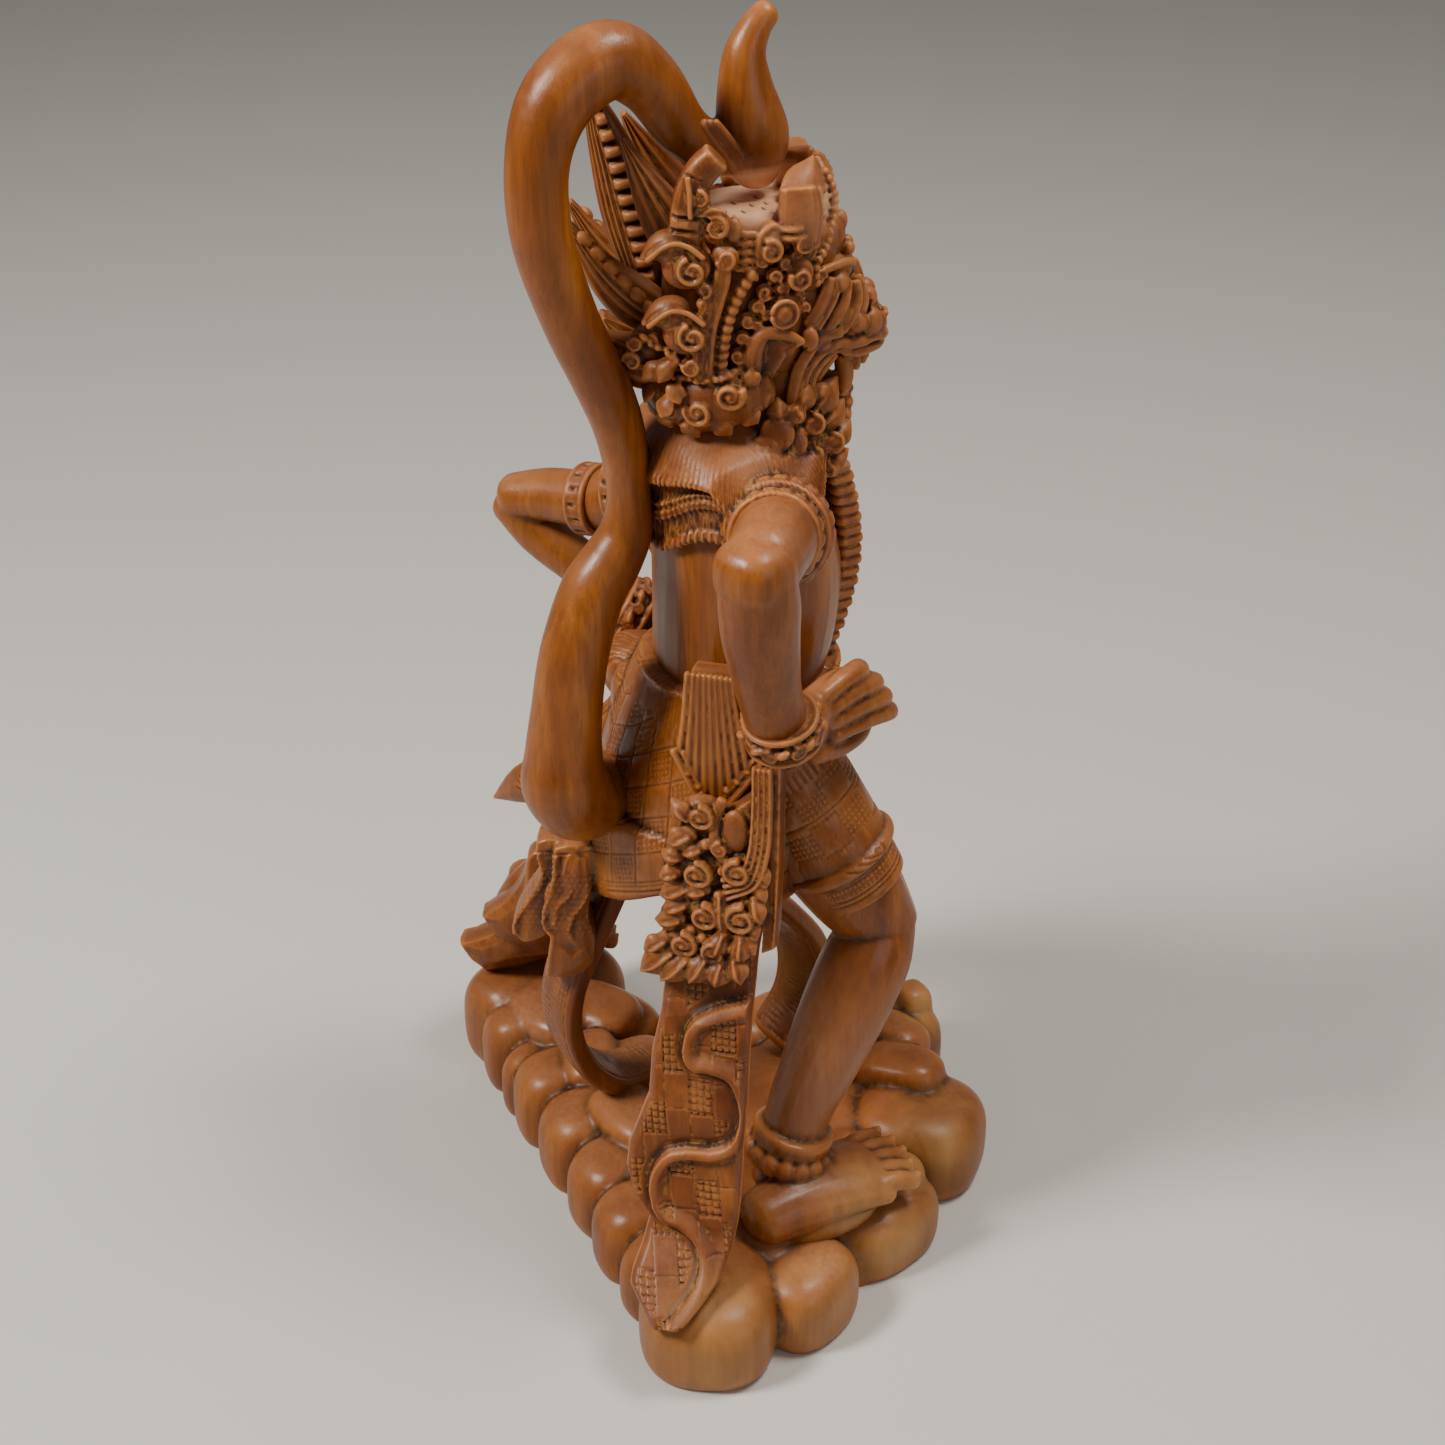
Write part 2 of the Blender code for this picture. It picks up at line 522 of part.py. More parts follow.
def long_sash():
    across = np.cross((0, 0, 1), SASH_FACING)
    facing = np.asarray(SASH_FACING)
    count = 16
    rows = []
    for i in range(count + 1):
        t = i / count
        width = SASH_WIDTH * (0.92 + 0.12 * math.sin(math.pi * t))
        if t > 0.8:
            width *= math.sqrt(max(0.05, 1.0 - ((t - 0.8) / 0.22) ** 2))
        rows.append((*sash_place(t), width, SASH_THICKNESS))
    tube(rows, across, sides=20, steps=1, power=4.0, cap=0.5)
    folds = 3
    for k in range(folds):
        t = (0.30, 0.50, 0.70)[k]
        ridge = []
        steps = 8
        for i in range(steps + 1):
            s = i / steps
            drop = 0.055 * math.sin(TAU * s) - 0.06 * s
            place = sash_place(t + 0.5 * drop + 0.06) + across * SASH_WIDTH * (0.95 - 1.5 * s)
            ridge.append((*(place + facing * (SASH_THICKNESS - 0.5)), 3.2, 3.4))
        tube(ridge, facing, sides=8, steps=2)


def front_sash():
    """Hangs from the crotch, bows forward and comes back to the boulders."""
    tube([(8, 24, 150, 15, 5), (8, 12, 129, 16, 5), (8, -1, 113, 16, 5), (8, -13, 95, 16, 5),
          (8, -19, 75, 15, 5), (8, -17, 55, 14, 5.5), (8, -5, 38, 13, 6)],
         (0.95, 0.28, 0), sides=16, steps=4, power=3.5)


def rear_sash():
    tube([(10, 72, 160, 13, 5), (10, 86, 132, 13, 5), (10, 97, 108, 13, 5), (10, 99, 86, 13, 5),
          (12, 91, 62, 13, 5), (15, 76, 44, 13, 5.5), (18, 58, 38, 12, 6), (20, 44, 36, 10, 6)],
         (1, 0, 0), sides=16, steps=4, power=3.5)
    for start, tip, width in (((0, 76, 176), (-2, 103, 150), 13), ((12, 78, 172), (18, 112, 138), 13),
                              ((6, 80, 158), (8, 108, 119), 13), ((-6, 80, 158), (-12, 99, 133), 10)):
        leaf(start, tip, (1, 0.2, 0), width, 6, (0, 5, 3), 0.45)


# Join, remesh and trim

def build():
    base()
    trunk()
    arms()
    legs()
    anklets()
    tail()
    head()
    crown()
    wings()
    collar()
    skirt()
    tongue()
    pendant()
    long_sash()
    front_sash()
    rear_sash()


def clear():
    for item in list(bpy.data.objects):
        bpy.data.objects.remove(item, do_unlink=True)


def joined(name):
    points = []
    faces = []
    start = 0
    for shell_points, shell_faces in shells:
        points.extend(map(tuple, shell_points * UNIT))
        faces.extend(tuple(start + i for i in face) for face in shell_faces)
        start += len(shell_points)
    mesh = bpy.data.meshes.new(name)
    mesh.from_pydata(points, [], faces)
    mesh.update()
    thing = bpy.data.objects.new(name, mesh)
    bpy.context.scene.collection.objects.link(thing)
    return thing


def ground_cutter():
    """A block whose top face is the underside's plane."""
    reach = 260.0 * UNIT
    depth = 60.0 * UNIT
    corners = [(x, y, z) for z in (-depth, 0.0) for y in (-reach, reach) for x in (-reach, reach)]
    faces = [(0, 2, 3, 1), (4, 5, 7, 6), (0, 1, 5, 4), (1, 3, 7, 5), (3, 2, 6, 7), (2, 0, 4, 6)]
    mesh = bpy.data.meshes.new("ground")
    mesh.from_pydata(corners, [], faces)
    block = bpy.data.objects.new("ground", mesh)
    bpy.context.scene.collection.objects.link(block)
    block.hide_render = True
    block.display_type = "WIRE"
    return block


def remesh(thing, voxel):
    step = thing.modifiers.new("one skin", "REMESH")
    step.mode = "VOXEL"
    step.voxel_size = voxel * UNIT
    step.adaptivity = 0.0


def main():
    clear()
    build()
    statue = joined("hanuman_statue")
    remesh(statue, VOXEL)
    ease = statue.modifiers.new("ease", "SMOOTH")
    ease.factor = 0.5
    ease.iterations = SMOOTHING_ROUNDS
    bpy.context.view_layer.update()
    dense = statue.evaluated_get(bpy.context.evaluated_depsgraph_get())
    count = sum(len(face.vertices) - 2 for face in dense.data.polygons)
    thin = statue.modifiers.new("thin", "DECIMATE")
    thin.ratio = TRIANGLES / count
    trim = statue.modifiers.new("trim", "BOOLEAN")
    trim.operation = "DIFFERENCE"
    trim.solver = "EXACT"
    trim.object = ground_cutter()


main()
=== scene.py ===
"""Looks of a carved wooden Hanuman statue: fine relief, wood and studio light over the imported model.

Lengths are carving millimetres for a figure 500 mm tall, turned to metres where each mesh is made.
The figure faces -Y, its right hand is towards -X, and the underside is on Z = 0.
"""

import math

import bpy
import numpy as np
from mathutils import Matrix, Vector

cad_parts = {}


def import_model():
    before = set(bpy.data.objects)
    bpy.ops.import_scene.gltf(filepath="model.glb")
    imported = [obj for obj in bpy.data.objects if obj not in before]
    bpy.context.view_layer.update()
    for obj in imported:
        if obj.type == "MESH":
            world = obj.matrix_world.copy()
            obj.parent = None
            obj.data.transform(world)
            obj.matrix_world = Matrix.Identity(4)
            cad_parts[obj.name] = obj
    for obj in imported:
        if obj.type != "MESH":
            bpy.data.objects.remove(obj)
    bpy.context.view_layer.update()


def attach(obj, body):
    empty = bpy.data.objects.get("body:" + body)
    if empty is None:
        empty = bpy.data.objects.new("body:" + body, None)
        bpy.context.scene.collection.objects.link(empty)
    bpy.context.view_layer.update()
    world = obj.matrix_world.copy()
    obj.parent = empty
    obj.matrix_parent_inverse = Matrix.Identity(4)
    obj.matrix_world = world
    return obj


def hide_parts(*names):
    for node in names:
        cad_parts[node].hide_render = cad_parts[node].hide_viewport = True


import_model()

UNIT = 0.001
TAU = 2.0 * math.pi
TORSO_WIDTH = 38.0
TORSO_DEPTH = 33.0
TAIL_RADIUS = 11.0
HEAD_AT = (-22.0, 22.0, 394.0)
HEAD_TURN = -28.0
# The crown is a drum about the head: its middle behind the head's own, and its radius
CROWN_Y = 8.0
CROWN_RADIUS = 29.6
FINGER_REACHES = (0.96, 1.03, 1.0, 0.92)
TOE_COUNT = 5
# Every piece keeps inside the box of the CAD solid
LOWEST = (-134.6, -83.5, 0.0)
HIGHEST = (130.0, 124.4, 500.6)

shells = []
materials = {}


# Kit of shapes

def unit(vector):
    vector = np.asarray(vector, float)
    return vector / max(np.linalg.norm(vector), 1e-9)


def smooth(rows, steps):
    """A curve through the rows, every column carried along."""
    rows = np.asarray(rows, float)
    if len(rows) < 3:
        count = steps * (len(rows) - 1)
        share = np.linspace(0.0, 1.0, count + 1)[:, None]
        return rows[0] * (1.0 - share) + rows[-1] * share
    padded = np.vstack([2.0 * rows[0] - rows[1], rows, 2.0 * rows[-1] - rows[-2]])
    t = (np.arange(steps) / steps)[:, None]
    out = []
    for i in range(len(rows) - 1):
        a, b, c, d = padded[i:i + 4]
        out.append(0.5 * (2.0 * b + (c - a) * t + (2.0 * a - 5.0 * b + 4.0 * c - d) * t * t
                          + (3.0 * b - a - 3.0 * c + d) * t ** 3))
    out.append(rows[-1:])
    return np.vstack(out)


def add(points, faces):
    shells.append((np.asarray(points, float), faces))


def ring_faces(rings, sides):
    """Four-cornered faces between rings of points, one ring after the other."""
    a = (np.arange(rings - 1)[:, None] * sides + np.arange(sides)[None, :]).ravel()
    b = (np.arange(rings - 1)[:, None] * sides + (np.arange(sides)[None, :] + 1) % sides).ravel()
    return list(zip(a.tolist(), b.tolist(), (b + sides).tolist(), (a + sides).tolist()))


def frames_along(path, side):
    """Tangent, side and front at each point of a path."""
    t = np.gradient(path, axis=0)
    t /= np.maximum(np.linalg.norm(t, axis=1), 1e-9)[:, None]
    s = np.asarray(side, float)[None, :] - t * (t @ np.asarray(side, float))[:, None]
    s /= np.maximum(np.linalg.norm(s, axis=1), 1e-9)[:, None]
    return t, s, np.cross(t, s)


DOMES = ((0.35, 0.93), (0.7, 0.7), (0.92, 0.38))


def tube(stations, side=(1.0, 0.0, 0.0), sides=20, steps=5, power=2.0, cap=0.7, relief=None):
    """A closed limb: rows of x, y, z, half width along side, half depth across it.

    relief(u, v, angle) gives how far the skin stands out, u mm round the ring and v mm along the path.
    """
    rows = smooth(stations, steps)
    path = rows[:, :3]
    t, s, n = frames_along(path, side)
    angles = np.arange(sides) * TAU / sides
    c = np.sign(np.cos(angles)) * np.abs(np.cos(angles)) ** (2.0 / power)
    d = np.sign(np.sin(angles)) * np.abs(np.sin(angles)) ** (2.0 / power)
    wide, deep = rows[:, 3], rows[:, 4]
    body = (path[:, None, :] + (wide[:, None] * c[None, :])[:, :, None] * s[:, None, :]
            + (deep[:, None] * d[None, :])[:, :, None] * n[:, None, :])
    if relief is not None:
        along = np.concatenate([[0.0], np.cumsum(np.linalg.norm(np.diff(path, axis=0), axis=1))])
        mean = 0.5 * (wide.mean() + deep.mean())
        u = np.broadcast_to((angles * mean)[None, :], body.shape[:2])
        v = np.broadcast_to(along[:, None], body.shape[:2])
        out = body - path[:, None, :]
        out /= np.maximum(np.linalg.norm(out, axis=2), 1e-9)[:, :, None]
        body = body + out * relief(u, v, np.broadcast_to(angles[None, :], u.shape))[:, :, None]
    first = []
    last = []
    for out, shrink in DOMES:
        low = min(wide[0], deep[0])
        high = min(wide[-1], deep[-1])
        first.insert(0, path[0] - t[0] * out * cap * low + (body[0] - path[0]) * shrink)
        last.append(path[-1] + t[-1] * out * cap * high + (body[-1] - path[-1]) * shrink)
    points = np.vstack(first + [body.reshape(-1, 3)] + last)
    rings = len(rows) + 2 * len(DOMES)
    faces = ring_faces(rings, sides)
    faces.append(tuple(reversed(range(sides))))
    end = (rings - 1) * sides
    faces.append(tuple(range(end, end + sides)))
    add(points, faces)


def turned(points, yaw=0.0, pitch=0.0, roll=0.0):
    """Roll about Y, then pitch about X, then yaw about Z, in degrees."""
    y, p, r = (math.radians(v) for v in (yaw, pitch, roll))
    about_z = np.array([[math.cos(y), -math.sin(y), 0], [math.sin(y), math.cos(y), 0], [0, 0, 1]])
    about_x = np.array([[1, 0, 0], [0, math.cos(p), -math.sin(p)], [0, math.sin(p), math.cos(p)]])
    about_y = np.array([[math.cos(r), 0, math.sin(r)], [0, 1, 0], [-math.sin(r), 0, math.cos(r)]])
    return np.asarray(points, float) @ (about_z @ about_x @ about_y).T


def basis(axis, up=(0.0, 0.0, 1.0)):
    """Rows x, y, axis of a frame whose third direction is axis and whose second leans to up."""
    axis = unit(axis)
    up = np.asarray(up, float)
    if abs(np.dot(unit(up), axis)) > 0.98:
        up = np.array([0.3, 1.0, 0.2])
    y = unit(up - axis * np.dot(up, axis))
    return np.array([np.cross(y, axis), y, axis])


def lobe(centre, radii, yaw=0.0, pitch=0.0, roll=0.0, power=2.0, flat=2.0, sides=20, rows=12, axes=None):
    """A closed rounded block; power squares its plan and flat squares its profile."""
    up = -math.pi / 2.0 + math.pi * np.arange(1, rows) / rows
    c, s = np.cos(up), np.sin(up)
    level = np.sign(s) * np.abs(s) ** (2.0 / flat)
    reach = c ** (2.0 / flat)
    a = np.arange(sides) * TAU / sides
    x = np.sign(np.cos(a)) * np.abs(np.cos(a)) ** (2.0 / power)
    y = np.sign(np.sin(a)) * np.abs(np.sin(a)) ** (2.0 / power)
    rings = np.stack([x[None, :] * reach[:, None], y[None, :] * reach[:, None],
                      np.repeat(level[:, None], sides, axis=1)], axis=2).reshape(-1, 3)
    points = np.vstack([rings, [[0.0, 0.0, -1.0], [0.0, 0.0, 1.0]]]) * np.asarray(radii, float)
    if axes is None:
        points = turned(points, yaw, pitch, roll)
    else:
        points = points @ axes
    faces = ring_faces(rows - 1, sides)
    low, high = len(points) - 2, len(points) - 1
    top = (rows - 2) * sides
    for j in range(sides):
        k = (j + 1) % sides
        faces.append((k, j, low))
        faces.append((top + j, top + k, high))
    add(points + np.asarray(centre, float), faces)


def ball(centre, radius):
    lobe(centre, (radius, radius, radius), sides=12, rows=8)


def disc(centre, facing, radius, half):
    lobe(centre, (radius, radius, half), axes=basis(facing), sides=18, rows=8, flat=2.4)


def leaf_rows(base, tip, width, thickness, bow, fullest, steps):
    """Stations of a pointed leaf from base to tip, its middle pushed out by bow."""
    base, tip, bow = (np.asarray(v, float) for v in (base, tip, bow))
    t = np.linspace(0.0, 1.0, steps + 1)
    swell = 0.12 + 0.88 * np.sin(np.pi * t ** (math.log(0.5) / math.log(fullest)))
    swell = np.where(t > fullest, np.maximum(0.10, swell), np.maximum(0.7, swell))
    centre = base[None] * (1 - t)[:, None] + tip[None] * t[:, None] + bow[None] * np.sin(np.pi * t)[:, None]
    return np.column_stack([centre, width * swell, thickness * (0.5 + 0.5 * swell)])


def leaf(base, tip, side, width, thickness, bow, fullest, steps=10, power=1.6):
    """A plain pointed leaf, its breadth along side."""
    tube(leaf_rows(base, tip, width, thickness, bow, fullest, steps), side, sides=14, steps=1, power=power)


def scroll(centre, facing, start, radius, turns, hand, bead=0.32):
    """A dished disc with a raised spiral roll on it round a bead, as the carver's gouge leaves it."""
    centre, facing = np.asarray(centre, float), unit(facing)
    x = unit(np.asarray(start, float) - facing * np.dot(start, facing))
    y = np.cross(facing, x) * hand
    disc(centre - facing * radius * 0.50, facing, radius * 1.02, radius * 0.46)
    count = 20
    t = np.linspace(0.0, 1.0, count + 1)
    angle = t * turns * TAU
    reach = radius * (0.86 - 0.56 * t)
    lift = radius * (0.10 + 0.06 * t)
    p = (centre[None] + x[None] * (np.cos(angle) * reach)[:, None]
         + y[None] * (np.sin(angle) * reach)[:, None] + facing[None] * lift[:, None])
    thick = radius * (0.22 - 0.08 * t)
    tube(np.column_stack([p, thick * 1.5, thick]), facing, sides=10, steps=1)
    ball(centre + facing * radius * 0.08, radius * bead)


def bead_row(stations, spacing, radius):
    """Beads strung along a curve, closer than they are wide so that they touch."""
    path = smooth(stations, 12)[:, :3]
    gaps = np.linalg.norm(np.diff(path, axis=0), axis=1)
    along = np.concatenate([[0.0], np.cumsum(gaps)])
    count = max(2, int(along[-1] / spacing) + 1)
    for at in np.linspace(0.0, along[-1], count):
        ball([np.interp(at, along, path[:, k]) for k in range(3)], radius)


def hoop(centre, direction, radius, count, side, wide, deep, sides=8):
    """A closed ring round a direction, wide along side and deep across it."""
    axes = basis(direction)
    a = np.arange(count) * TAU / count
    ring = (np.asarray(centre, float)[None] + np.outer(np.cos(a) * radius, axes[0])
            + np.outer(np.sin(a) * radius, axes[1]))
    ring = np.vstack([ring, ring[:1]])
    tube(np.column_stack([ring, np.full(count + 1, wide), np.full(count + 1, deep)]), side, sides=sides,
         steps=1)


# Meshes

def gathered(name):
    points = []
    faces = []
    start = 0
    for shell_points, shell_faces in shells:
        points.append(shell_points)
        faces.extend([tuple(start + i for i in face) for face in shell_faces])
        start += len(shell_points)
    shells.clear()
    mesh = bpy.data.meshes.new(name)
    mesh.from_pydata((np.vstack(points) * UNIT).tolist(), [], faces)
    mesh.update()
    return mesh


def positions(mesh):
    flat = np.empty(len(mesh.vertices) * 3, np.float32)
    mesh.vertices.foreach_get("co", flat)
    return flat.reshape(-1, 3).astype(float) / UNIT


def put_positions(mesh, points):
    mesh.vertices.foreach_set("co", (points * UNIT).astype(np.float32).ravel())
    mesh.update()


def normals(mesh):
    flat = np.empty(len(mesh.vertices) * 3, np.float32)
    mesh.vertices.foreach_get("normal", flat)
    return flat.reshape(-1, 3).astype(float)


def edge_ends(mesh):
    flat = np.empty(len(mesh.edges) * 2, np.int32)
    mesh.edges.foreach_get("vertices", flat)
    return flat.reshape(-1, 2)


def eased(points, ends, rounds):
    """Points drawn half way to their neighbours' mean, so many times over."""
    count = len(points)
    a = np.concatenate([ends[:, 0], ends[:, 1]])
    b = np.concatenate([ends[:, 1], ends[:, 0]])
    degree = np.maximum(np.bincount(a, minlength=count), 1)
    points = points.copy()
    for _ in range(rounds):
        for k in range(points.shape[1]):
            mean = np.bincount(a, weights=points[b, k], minlength=count) / degree
            points[:, k] += 0.5 * (mean - points[:, k])
    return points


def mark_cavity(mesh):
    """Per point, how far it lies in a recess (positive) or on a ridge, at a fine and a broad scale."""
    points = positions(mesh)
    n = normals(mesh)
    ends = edge_ends(mesh)
    length = np.linalg.norm(points[ends[:, 0]] - points[ends[:, 1]], axis=1).mean()
    fine_rounds = max(2, int((0.9 / length) ** 2 * 2))
    broad_rounds = min(80, max(8, int((3.2 / length) ** 2 * 2)))
    fine = eased(points, ends, fine_rounds)
    broad = eased(fine, ends, broad_rounds)
    for label, reference, scale in (("cavity", fine, 0.22), ("hollow", broad, 0.9)):
        depth = ((reference - points) * n).sum(axis=1) / scale
        store(mesh, label, eased(depth[:, None], ends, 1)[:, 0])


def store(mesh, label, values):
    layer = mesh.attributes.new(label, "FLOAT", "POINT")
    layer.data.foreach_set("value", np.asarray(values, np.float32))


def incise(points, path, width, depth):
    """How deep a cut along the path goes at each point: round-bottomed, width mm either side of it."""
    line = smooth(path, 10)[:, :3]
    found = np.zeros(len(points))
    low, high = line.min(axis=0) - width, line.max(axis=0) + width
    near = np.where(((points > low) & (points < high)).all(axis=1))[0]
    if not len(near):
        return found
    best = np.full(len(near), 1e9)
    here = points[near]
    for a, b in zip(line[:-1], line[1:]):
        span = b - a
        t = np.clip(((here - a) @ span) / max(span @ span, 1e-9), 0.0, 1.0)
        best = np.minimum(best, np.linalg.norm(here - a - t[:, None] * span, axis=1))
    share = np.clip(1.0 - best / width, 0.0, 1.0)
    found[near] = depth * share * share * (3.0 - 2.0 * share)
    return found


def triangles(mesh):
    return sum(len(face.vertices) - 2 for face in mesh.polygons)


def thinned(thing, most):
    """Collapse the flattest triangles until no more than the given number are left."""
    count = triangles(thing.data)
    if count <= most:
        return
    step = thing.modifiers.new("fewer faces", "DECIMATE")
    step.ratio = most / count
    bpy.context.view_layer.update()
    lean = bpy.data.meshes.new_from_object(thing.evaluated_get(bpy.context.evaluated_depsgraph_get()))
    full = thing.data
    thing.modifiers.clear()
    thing.data = lean
    lean.name = thing.name
    bpy.data.meshes.remove(full)


def finish_piece(name, material, voxel, ease, relief, most):
    """Join the gathered shells, give them one skin if voxel is set, cut the relief, hang it on the body."""
    mesh = gathered(name)
    thing = bpy.data.objects.new(name, mesh)
    bpy.context.scene.collection.objects.link(thing)
    if voxel:
        step = thing.modifiers.new("one skin", "REMESH")
        step.mode = "VOXEL"
        step.voxel_size = voxel * UNIT
        bpy.context.view_layer.update()
        skin = bpy.data.meshes.new_from_object(thing.evaluated_get(bpy.context.evaluated_depsgraph_get()))
        thing.modifiers.clear()
        thing.data = skin
        bpy.data.meshes.remove(mesh)
        mesh = skin
        mesh.name = name
        put_positions(mesh, eased(positions(mesh), edge_ends(mesh), ease))
    if relief is not None:
        points = positions(mesh)
        put_positions(mesh, points - normals(mesh) * relief(points)[:, None])
    put_positions(mesh, np.clip(positions(mesh), LOWEST, HIGHEST))
    mark_cavity(mesh)
    thinned(thing, most)
    mesh = thing.data
    mesh.polygons.foreach_set("use_smooth", np.ones(len(mesh.polygons), bool))
    mesh.materials.clear()
    mesh.materials.append(materials[material])
    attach(thing, "root")
    print(name, triangles(mesh), "triangles")
    return thing


# Base of overlapping boulders

def base():
    """Rounded blocks round the rim, slabs on top: rows of x, y, half sizes, height, yaw and two tilts."""
    middle = [(-58, 66, 58, 38, 33, 0), (-5, 66, 56, 34, 34, 0), (46, 74, 46, 26, 34, 0),
              (84, 68, 32, 28, 36, 20), (-66, 15, 44, 38, 31, 10), (-22, 8, 46, 40, 33, 0),
              (0, -25, 28, 38, 33, 10), (-36, -34, 36, 24, 32, -25), (-6, -56, 20, 22, 34, 10)]
    back = [(103, 80, 20, 24, 43, 12, 0, 0), (80, 86, 15, 20, 38, -10, 0, 0), (60, 90, 10, 17, 32, 4, 0, 0),
            (40, 87, 17, 22, 38, -8, 0, 0), (10, 88, 19, 23, 37, -4, 0, 0), (-21, 90, 18, 23, 36, 6, 0, 0),
            (-50, 92, 17, 24, 36, -6, 0, 0), (-74, 96, 14, 21, 33, 8, 0, 0)]
    near = [(-101, 92, 32, 28, 37, -35, 0, 0), (-110, 54, 20, 23, 33, 20, 0, 0),
            (-93, 5, 19, 26, 31, 12, 0, 0), (-59, -37, 29, 27, 38, 40, 0, 0),
            (-33, -45, 20, 18, 36, 20, 0, 0)]
    front = [(-12, -63, 15, 13, 42, 30, 0, 0), (6, -68, 15, 16, 38, 60, 0, 0),
             (21, -46, 14, 18, 34, 15, 0, 0), (31, -16, 16, 20, 33, 10, 0, 0), (42, 16, 18, 18, 31, 40, 0, 0),
             (66, 44, 20, 16, 33, 20, 0, 0), (100, 48, 20, 20, 40, 5, 0, 0), (114, 66, 16, 18, 43, 10, 0, 0)]
    top = [(-40, -40, 20, 13, 46, 35, 0, 8), (-20, -50, 16, 11, 46, 20, 6, 0), (-7, -68, 9, 8, 50, 0, 0, 0),
           (78, 74, 24, 18, 43, 10, -5, 3), (36, 74, 18, 14, 43, -20, -6, 0), (-6, 76, 22, 15, 44, 8, -6, 3),
           (66, 56, 20, 16, 43, 30, 0, 0), (18, 58, 24, 20, 41, 0, 0, 0), (-46, 80, 20, 15, 41, -12, -4, 0),
           (-86, 62, 20, 14, 37, 20, -4, 4), (-84, -2, 18, 15, 35, 50, 0, 6)]
    for x, y, length, breadth, height, yaw in middle:
        lobe((x, y, 6), (length, breadth, height - 6), yaw, power=2.6, flat=3.0, sides=40, rows=20)
    for x, y, length, breadth, height, yaw, pitch, roll_angle in back + near + front:
        lobe((x, y, height * 0.40), (length, breadth, height * 0.60), yaw, pitch, roll_angle, power=2.6,
             flat=3.2, sides=48, rows=26)
    for x, y, length, breadth, height, yaw, pitch, roll_angle in top:
        lobe((x, y, height - 14), (length, breadth, 14), yaw, pitch, roll_angle, power=3.0, flat=3.4,
             sides=40, rows=22)


# Trunk, neck, arms and legs

def trunk():
    w, d = TORSO_WIDTH, TORSO_DEPTH
    tube([(-13, 34, 200, w * 1.12, d * 1.1), (-14, 32, 228, w * 1.02, d),
          (-15, 31, 250, w * 0.94, d * 0.95), (-16, 28, 276, w, d * 1.02),
          (-17, 28, 300, w * 1.05, d * 1.02), (-17, 33, 322, w * 1.08, d * 0.9),
          (-18, 36, 338, w * 0.8, d * 0.72), (-20, 32, 352, w * 0.5, d * 0.58),
          (-21, 27, 372, w * 0.45, d * 0.52)], steps=4, sides=28)


def limb(rows, side=(1.0, 0.0, 0.0)):
    tube(rows, side, sides=20, steps=4)


def arms():
    limb([(-38, 34, 322, 15, 16), (-58, 38, 330, 15, 16), (-74, 50, 337, 15, 15),
          (-88, 63, 338, 13.5, 13.5)], (0, 0, 1))
    lobe((-91, 68, 337), (13.5, 13, 12), yaw=20, power=2.6, flat=2.6)
    limb([(-91, 67, 334, 13.4, 13.4), (-89, 65, 323, 14.2, 14.2), (-86.5, 63, 311, 13.8, 13.8),
          (-84, 60, 298, 12.8, 12.8), (-81.5, 56.5, 284, 11.8, 11.8), (-79, 51, 266, 11, 11)])
    limb([(8, 42, 306, 15, 16), (30, 46, 308, 14, 14), (50, 57, 301, 11.5, 12),
          (68, 67, 298, 10.5, 11), (80, 77, 295, 9, 9)], (0, 0, 1))
    limb([(83, 77, 291, 8.5, 9), (73, 69, 279, 9.5, 9.5), (60, 57, 267, 9.5, 9.5),
          (52, 50, 257, 9.5, 9), (45, 43, 250, 10, 9)], (0, 0, 1))
    fist()
    hand((45, 42, 249), (30, -12, 247), -1.0)


def hand(wrist, tips, sign):
    """A relaxed hand from wrist to fingertips, the fingers bent to the side that sign gives."""
    wrist, tips = np.asarray(wrist, float), np.asarray(tips, float)
    along = tips - wrist
    palm = wrist + along * 0.35
    tube([(*wrist, 9.5, 10), (*(wrist + along * 0.2), 9, 12.5), (*(wrist + along * 0.45), 8, 14),
          (*(wrist + along * 0.6), 6.5, 13)], (1, 0, 0), sides=16, steps=3)
    for i, reach in enumerate(FINGER_REACHES):
        lift = 11.5 - i * 6.2
        start = palm + np.array([0.0, 0.0, lift * 0.8])
        end = wrist + along * reach + np.array([0.0, 0.0, lift])
        bend = np.array([-5.0 * sign, 0.0, 1.5])
        middle = (start + end) * 0.5 + bend
        tube([(*start, 4, 3.9), (*middle, 4, 3.9), (*end, 3.4, 3.3)], (1, 0, 0), sides=10, steps=4)
    thumb = palm + np.array([0.0, 0.0, -7.0])
    end = wrist + along * 0.92 + np.array([-3.0 * sign, 0.0, -12.0])
    tube([(*thumb, 4.5, 4.5), (*((thumb + end) * 0.5 + np.array([-3.0 * sign, 0, -2.0])), 4.5, 4.2),
          (*end, 3.6, 3.4)], (1, 0, 0), sides=10, steps=4)


